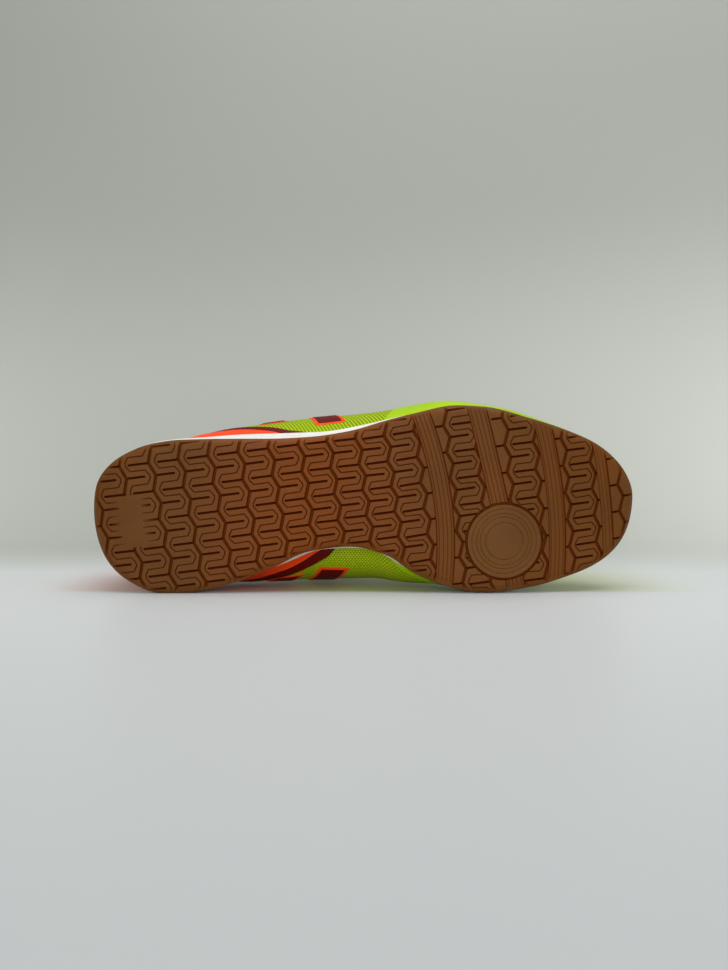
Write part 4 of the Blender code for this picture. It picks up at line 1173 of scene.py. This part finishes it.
def make_upper():
    """Knitted upper with its wall, a rounded padded collar and a textile lining."""
    shares = section_shares(UPPER_STEPS)
    shares[np.argmin(np.abs(shares - THROAT_FRONT))] = THROAT_FRONT
    share = np.concatenate([shares, shares[-2:0:-1]])
    side = np.where(np.arange(len(share)) < len(shares), 1.0, -1.0)
    open_top = share < THROAT_FRONT - 1e-9
    top = surface(share, side, 1.0)
    speed = np.linalg.norm(top - surface(share, side, 1.0 - PROBE), axis=-1) / PROBE
    top_height = top[:, 2]
    reach = wall_thickness(top[:, 0] / LENGTH, top_height, top_height) / 2.0 / speed
    body = np.linspace(0.0, 1.0, WALL_STEPS + 1)[:, None]
    turns = np.linspace(0.0, np.pi / 2.0, EDGE_STEPS + 1)[1:, None]
    ups = np.vstack([body * (1.0 - reach), 1.0 - reach * (1.0 - np.sin(turns))])
    share, side, ups = together(share, side, ups)
    rounding = np.where(open_top, np.vstack([np.ones(body.shape), np.cos(turns[:-1]), [[0.0]]]), 1.0)
    skin = lifted(share, side, ups)
    normals = outward(share, side, ups)
    walls = wall_thickness(skin[..., 0] / LENGTH, top_height, skin[..., 2])
    skin = skin - normals * (walls * (1.0 - rounding) / 2.0)[..., None]
    lining = skin - normals * (walls * rounding)[..., None]
    form = two_skins(skin, lining, [[*range(share.shape[1]), 0]], wrap=True)
    outside = (len(share) - 1) * share.shape[1]
    picks = [0] * outside + [1] * (len(form[1]) - outside)
    flat = np.stack([skin[..., 0], arc_lengths(skin, 0), side * SIDE_APART], axis=-1)
    # The tone picks the knit's side, and with it the inner side's painted lighter colours
    tones = np.clip(0.5 + skin[..., 1] / KNIT_BLEND, 0.0, 1.0)
    settings = {"weave": flat, "tones": tones, "picks": picks, "merge": 2e-5, "sharp": 50.0}
    return solid("upper_knit", form, [KNIT, LINING], "lime_knit", ["upper"], **settings)


def round_region(inner, outer, count, toe=False):
    """Places from one side round the heel or the toe to the other side, between the ends of two tables."""
    first, last = (angle_of(table[0 if toe else -1][0]) for table in (inner, outer))
    middle = np.pi if toe else 0.0
    angle = [*np.linspace(first, middle, count, endpoint=False), *np.linspace(middle, last, count + 1)]
    return (1.0 - np.cos(angle)) / 2.0, np.repeat([1.0, -1.0], [count, count + 1])


def by_side(share, side, inner, outer):
    """The value of one table on the inner side and of another on the outer side."""
    return np.where(side > 0, plain_curve(inner)(share), plain_curve(outer)(share))


def make_films():
    """Toe guard, heel counter, heel band and the slanted side bars."""
    toe = round_region(TOE_GUARD_INNER, TOE_GUARD_OUTER, 90, toe=True)
    counter = round_region(COUNTER_INNER, COUNTER_OUTER, 60)
    band = round_region(BAND_INNER, BAND_OUTER, 64)
    toe_edge = by_side(*toe, TOE_GUARD_INNER, TOE_GUARD_OUTER)
    counter_edge = by_side(*counter, COUNTER_INNER, COUNTER_OUTER)
    band_low = np.maximum(by_side(*band, COUNTER_INNER, COUNTER_OUTER), BAND_FOOT) + BAND_GAP
    band_edge = band_low + by_side(*band, BAND_INNER, BAND_OUTER)
    for name, place, low, high, rows, look, slot, thickness in (
        ("toe_guard", toe, FILM_FOOT, toe_edge, 22, NEON, "neon_film", FILM_THICKNESS),
        ("heel_counter", counter, FILM_FOOT, counter_edge, 26, ORANGE, "orange_film", COUNTER_THICKNESS),
        ("heel_band", band, band_low, band_edge, 12, MAROON, "maroon_film", FILM_THICKNESS),
    ):
        up = low + (high - low) * with_edges(rows, 0.025)[:, None]
        film(name + "_film", *place, up, look, slot, [name], thickness=thickness)
    for side, bars in SIDE_BARS.items():
        for number, sizes in enumerate(bars, start=1):
            make_side_bar(f"{'inner' if side > 0 else 'outer'}_bar_{number}", side, *sizes)


def make_side_bar(name, side, start, width, foot, head, slant):
    """One slanted bar: an orange border with a dark field that stands slightly proud of it."""
    rows = with_edges(24, 0.015)[:, None]
    columns = with_edges(12, 0.03)
    for part, border, look, slot, lift in (
        ("border", 0.0, ORANGE, "orange_film", FILM_LIFT),
        ("field", BAR_BORDER, MAROON, "maroon_film", FILM_LIFT + PATCH_THICKNESS),
    ):
        inset = border / LENGTH
        raised = border / BAR_RISE
        up = foot + raised + (head - foot - 2.0 * raised) * rows
        share = start + inset + (width - 2.0 * inset) * columns + slant * (up - foot) / (head - foot)
        film(f"{name}_{part}", share, side, up, look, slot, lift=lift, thickness=PATCH_THICKNESS)


def make_eyestay():
    """Film round the throat: along one edge, round its front and back along the other edge."""
    straight = np.linspace(THROAT_TOP, THROAT_FRONT, 46)
    turns = np.linspace(0.0, np.pi, 25)[1:-1]
    rows = with_edges(9, 0.04)[:, None]
    fan = (EYESTAY_FRONT - THROAT_FRONT) * np.sin(turns)
    start = np.concatenate([straight, np.full(len(turns), THROAT_FRONT), straight[::-1]])
    reach = np.concatenate([0.0 * straight, fan, 0.0 * straight])
    way = np.concatenate([np.ones(len(straight)), np.cos(turns), -np.ones(len(straight))])
    side = np.where(way >= 0.0, 1.0, -1.0)
    up = 1.0 - np.abs(way) * (1.0 - EYESTAY_FOOT) * rows
    return film("eyestay_film", start + reach * rows, side, up, NEON, "neon_film", ["eyestay"], merge=1e-5)


def punch_eyelets(pieces):
    """Cuts the lace holes and rings each one with a small raised rim."""
    cutter_mesh = bmesh.new()
    steps, sides = 24, 8
    around = 2.0 * np.pi * np.arange(steps + 1)[:, None] / steps
    bend = 2.0 * np.pi * np.arange(sides) / sides
    radius = EYELET_RADIUS + EYELET_RIM * (1.0 + np.cos(bend))
    height = FILM_LIFT + FILM_THICKNESS + EYELET_RIM_HEIGHT * np.sin(bend)
    rim = np.stack(np.broadcast_arrays(radius * np.cos(around), radius * np.sin(around), height), axis=-1)
    rim_faces = np.array(grid_faces(steps + 1, sides, wrap=True))
    points = []
    faces = []
    for share in EYELET_SHARES:
        for side in (1, -1):
            centre = STAND @ Vector(lifted(share, side, EYELET_UP))
            normal = STAND.to_3x3() @ Vector(outward(share, side, EYELET_UP))
            turn = normal.to_track_quat("Z", "X").to_matrix()
            place = Matrix.Translation(centre) @ turn.to_4x4()
            sizes = {"radius1": EYELET_RADIUS, "radius2": EYELET_RADIUS, "depth": 4.0 * COLLAR_WALL}
            bmesh.ops.create_cone(cutter_mesh, cap_ends=True, segments=steps, matrix=place, **sizes)
            faces += (rim_faces + len(points)).tolist()
            points += [STAND.inverted() @ place @ Vector(point) for point in rim.reshape(-1, 3)]
    mesh = bpy.data.meshes.new("eyelet_cutter")
    cutter_mesh.to_mesh(mesh)
    cutter_mesh.free()
    cutter = add_object("eyelet_cutter", mesh)
    for piece in pieces:
        cut = piece.modifiers.new("eyelets", "BOOLEAN")
        cut.operation = "DIFFERENCE"
        cut.solver = "EXACT"
        cut.object = cutter
        bpy.context.view_layer.update()
        cut_mesh = bpy.data.meshes.new_from_object(piece.evaluated_get(bpy.context.evaluated_depsgraph_get()))
        piece.modifiers.clear()
        piece.data = cut_mesh
    bpy.data.objects.remove(cutter, do_unlink=True)
    solid("eyelet_rims", (np.array(points), faces), [MAROON], "maroon_film", merge=1e-7)


# Tongue and laces


def bezier(start, first, second, end, t):
    """Points on a curve with two handles."""
    s = 1.0 - t
    return start * s**3 + first * 3.0 * s * s * t + second * 3.0 * s * t * t + end * t**3


def tongue_row(share, up, across):
    """A line across the tongue's outer face under the upper."""
    ends = []
    for side in (1, -1):
        here = surface(share, side, up)
        point = here - outward(share, side, up) * (UPPER_WALL + TONGUE_CLEARANCE)
        ends += [point, unit(surface(share, side, min(up + PROBE, 1.0)) - here)]
    inner, inner_way, outer, outer_way = ends
    reach = np.linalg.norm(inner - outer) * TONGUE_BOW
    return bezier(inner, inner + inner_way * reach, outer + outer_way * reach, outer, across[:, None])


def make_tongue():
    """Padded tongue with a bound edge, from under the vamp to its free tip."""
    foot, neck = np.array(TONGUE_FOOT), np.array(TONGUE_NECK)
    across = np.linspace(0.0, 1.0, 41)
    rows = [tongue_row(*(foot + (neck - foot) * t), across) for t in np.linspace(0.0, 1.0, 61)]
    last = rows[-1]
    centre = last[::5].mean(axis=0)
    narrow = plain_curve(TONGUE_TIP)
    for part in np.linspace(0.0, 1.0, 25)[1:]:
        rows.append(centre + (last - centre) * narrow(part) + np.array(TONGUE_LEAN) * TONGUE_REACH * part)
    grid = np.array(rows)
    normal = unit(np.cross(np.gradient(grid, axis=0), np.gradient(grid, axis=1)))
    normal *= math.copysign(1.0, normal[..., 2].mean())
    down = np.linspace(0.0, 1.0, len(grid))[:, None]
    edge = np.minimum(across, 1.0 - across) / TONGUE_EDGE
    close = np.clip(np.minimum(edge, np.minimum(down, 1.0 - down) / TONGUE_END), 0.0, 1.0)
    thickness = TONGUE_THICKNESS * np.sqrt(1.0 - (1.0 - close) ** 2)
    quilt = QUILT_DEPTH * np.sin(down * 2.0 * np.pi * QUILT_ROWS) * close
    top = grid - normal * ((TONGUE_THICKNESS - thickness) / 2.0 - np.minimum(quilt, 0.0))[..., None]
    bottom = grid - normal * ((TONGUE_THICKNESS + thickness) / 2.0)[..., None]
    form = two_skins(top, bottom)
    arc = arc_lengths(grid, 0)
    flat = np.stack([arc, arc_lengths(grid, 1), 0.0 * arc], axis=-1)
    picks = np.repeat([0, 1], len(form[1]) // 2)
    # Tone 1.0 gives the tongue the knit's inner-side colours, painted lighter as bounce light
    settings = {"weave": flat, "tones": 1.0, "picks": picks, "merge": 2e-5}
    return solid("tongue_padded", form, [KNIT, LINING], "lime_knit", ["tongue"], **settings)


def make_laces():
    """Flat woven laces across the throat: each comes up through one hole and goes down through the other."""
    for number, share in enumerate(EYELET_SHARES, start=1):
        dives = []
        handles = []
        for side in (1, -1):
            normal = outward(share, side, EYELET_UP)
            hole = lifted(share, side, EYELET_UP)
            top = surface(share, side, 1.0)
            way = unit(top - hole)
            dives.append([hole + normal * d + way * LACE_DRIFT * k for k, d in enumerate(LACE_DIVE)])
            start = hole + normal * LACE_LIFT + way * LACE_INSET
            handles.append((start, start + way * np.linalg.norm(top - hole) * LACE_BOW))
        across = np.linspace(0.0, 1.0, 41)[:, None]
        middle = bezier(*handles[0], *handles[1][::-1], across)
        path = np.vstack([dives[0], middle, dives[1][::-1]])
        for _ in range(2):
            path[1:-1] = (path[:-2] + 2.0 * path[1:-1] + path[2:]) / 4.0
        along = unit(surface(share + 0.01, 1, 1.0) - surface(share - 0.01, 1, 1.0))
        sweep_lace(number, path, along)


def sweep_lace(number, path, along):
    """A flat band with rounded edges along a path, bunched where it passes a hole."""
    dive = len(LACE_DIVE)
    turns = np.linspace(0.0, 2.0 * np.pi, LACE_SIDES, endpoint=False)
    way = unit(np.gradient(path, axis=0))
    side = unit(along - way * (way @ along)[:, None])
    up = np.cross(way, side)
    count = len(path)
    steps = np.arange(count)
    spread = np.interp(np.minimum(steps, count - 1 - steps), [0, dive - 1, dive + 5], LACE_BUNCH)[:, None]
    half_thick = np.interp(spread, (LACE_BUNCH[0], 1.0), LACE_HALF_THICKNESS)
    wide, thick = (np.sign(wave) * np.abs(wave) ** LACE_ROUNDING for wave in (np.cos(turns), np.sin(turns)))
    rings = path[:, None] + side[:, None] * (LACE_WIDTH / 2.0 * spread * wide)[..., None]
    rings = rings + up[:, None] * (half_thick * thick)[..., None]
    faces = grid_faces(count, LACE_SIDES, wrap=True)
    faces += [list(range(start, start + LACE_SIDES)) for start in (0, (count - 1) * LACE_SIDES)]
    run = arc_lengths(path, 0)[:, None]
    flat = np.stack(np.broadcast_arrays(run, wide * LACE_WIDTH / 2.0, 0.0), axis=-1)
    form = (rings.reshape(-1, 3), faces)
    solid(f"lace_{number}", form, [LACE], "orange_lace", [f"lace_bar_{number}"], weave=flat)


# Floor, light and camera


def make_stage():
    """A pale floor that turns up in a wide curve into a pale wall behind the shoe."""
    turns = np.radians(np.linspace(0.0, 90.0, 19))
    depth = [*FLOOR_DEPTHS, *(COVE_START + COVE_RADIUS * np.sin(turns))] + [COVE_START + COVE_RADIUS] * 2
    height = [0.0] * len(FLOOR_DEPTHS) + [*(COVE_RADIUS * (1.0 - np.cos(turns))), *BACKDROP_HEIGHTS]
    points = [(x, y, z) for y, z in zip(depth, height) for x in (-FLOOR_HALF, FLOOR_HALF)]
    mesh = bpy.data.meshes.new("floor")
    mesh.from_pydata(points, [], grid_faces(len(depth), 2))
    mesh.shade_smooth()
    mesh.materials.append(make_paper())
    add_object("floor", mesh)


def make_paper():
    """Pale paper with painted light: painted shade that darkens the floor near the camera and the wall higher
    up, painted light that makes the wall lighter low down and at its sides, and the shoe's colours as a
    painted reflection and shadow on the floor under it.
    """
    look = Look("floor_paper", (0.62, 0.63, 0.63), 0.42, Specular_IOR_Level=0.25)
    x, y, z = (look.split(look.place())[axis] for axis in "XYZ")
    # Painted shade: the floor turns darker towards the camera
    near = look.mix(look.spread(y, -0.42, -0.10), (0.50, 0.515, 0.525), (0.65, 0.67, 0.68))
    # Painted reflection and shadow of the shoe on the floor: pink beside the orange heel, green beside the
    # knit, laid on the strip under the shoe's side
    painted_bounce = look.mix(look.spread(x, -0.065, -0.030), (0.60, 0.26, 0.20), (0.42, 0.44, 0.14))
    under = look.times(look.spread(y, -0.044, -0.038), look.spread(y, 0.09, 0.02))
    ends = look.times(look.spread(x, -0.175, -0.110), look.spread(x, 0.185, 0.110))
    near = look.mix(look.times(look.times(under, ends), 0.66), near, painted_bounce)
    # Painted light on the wall: lighter low down, towards its sides and towards +x, darker higher up
    sides = look.spread(look.times(x, x), 0.0, 0.12, 0.04, 0.60)
    painted_light_toward_floor = look.math("POWER", look.spread(z, 0.48, 0.0), 1.6)
    low = look.times(painted_light_toward_floor, look.math("ADD", sides, look.spread(x, -0.38, 0.38, 0.0, 0.25)))
    share = look.math("ADD", low, look.spread(x, -0.38, 0.38, 0.0, 0.18))
    wall = look.mix(share, (0.318, 0.332, 0.298), (0.650, 0.668, 0.625))
    look.set(Base_Color=look.mix(look.spread(y, 0.04, 0.16), near, wall))
    look.raised((look.noise(4.0, 2.0), 0.002, 0.2))
    return look.material


def make_light():
    """Soft studio light from above, a weak fill from the front and a pale room."""
    for name, place, size, power, color in LIGHTS:
        light = bpy.data.lights.new(name, "AREA")
        light.shape = "SQUARE"
        light.size = size
        light.energy = power
        light.color = color
        lamp = add_object(name, light)
        lamp.location = place
        lamp.rotation_euler = (Vector(LIGHT_TARGET) - Vector(place)).to_track_quat("-Z", "Y").to_euler()
    world = bpy.data.worlds.new("room")
    bpy.context.scene.world = world
    world.use_nodes = True
    background = world.node_tree.nodes["Background"]
    background.inputs["Color"].default_value = (0.80, 0.83, 0.82, 1.0)
    background.inputs["Strength"].default_value = 0.55
    bpy.context.scene.view_settings.view_transform = "Standard"


def make_camera():
    """The photograph's view: low and close in front of the sole."""
    data = bpy.data.cameras.new("camera")
    data.sensor_fit = "AUTO"
    data.sensor_width = SENSOR
    data.lens = SENSOR * FOCAL_PIXELS / IMAGE_HEIGHT
    data.clip_start = 0.01
    camera = add_object("camera", data)
    camera.location = CAMERA_PLACE
    camera.rotation_euler = (math.radians(90.0 - CAMERA_TILT), 0.0, 0.0)
    bpy.context.scene.camera = camera


make_camera()
make_outsole()
make_midsole()
make_insole()
upper = make_upper()
make_films()
eyestay = make_eyestay()
punch_eyelets([upper, eyestay])
make_tongue()
make_laces()
make_stage()
make_light()
bpy.context.view_layer.update()
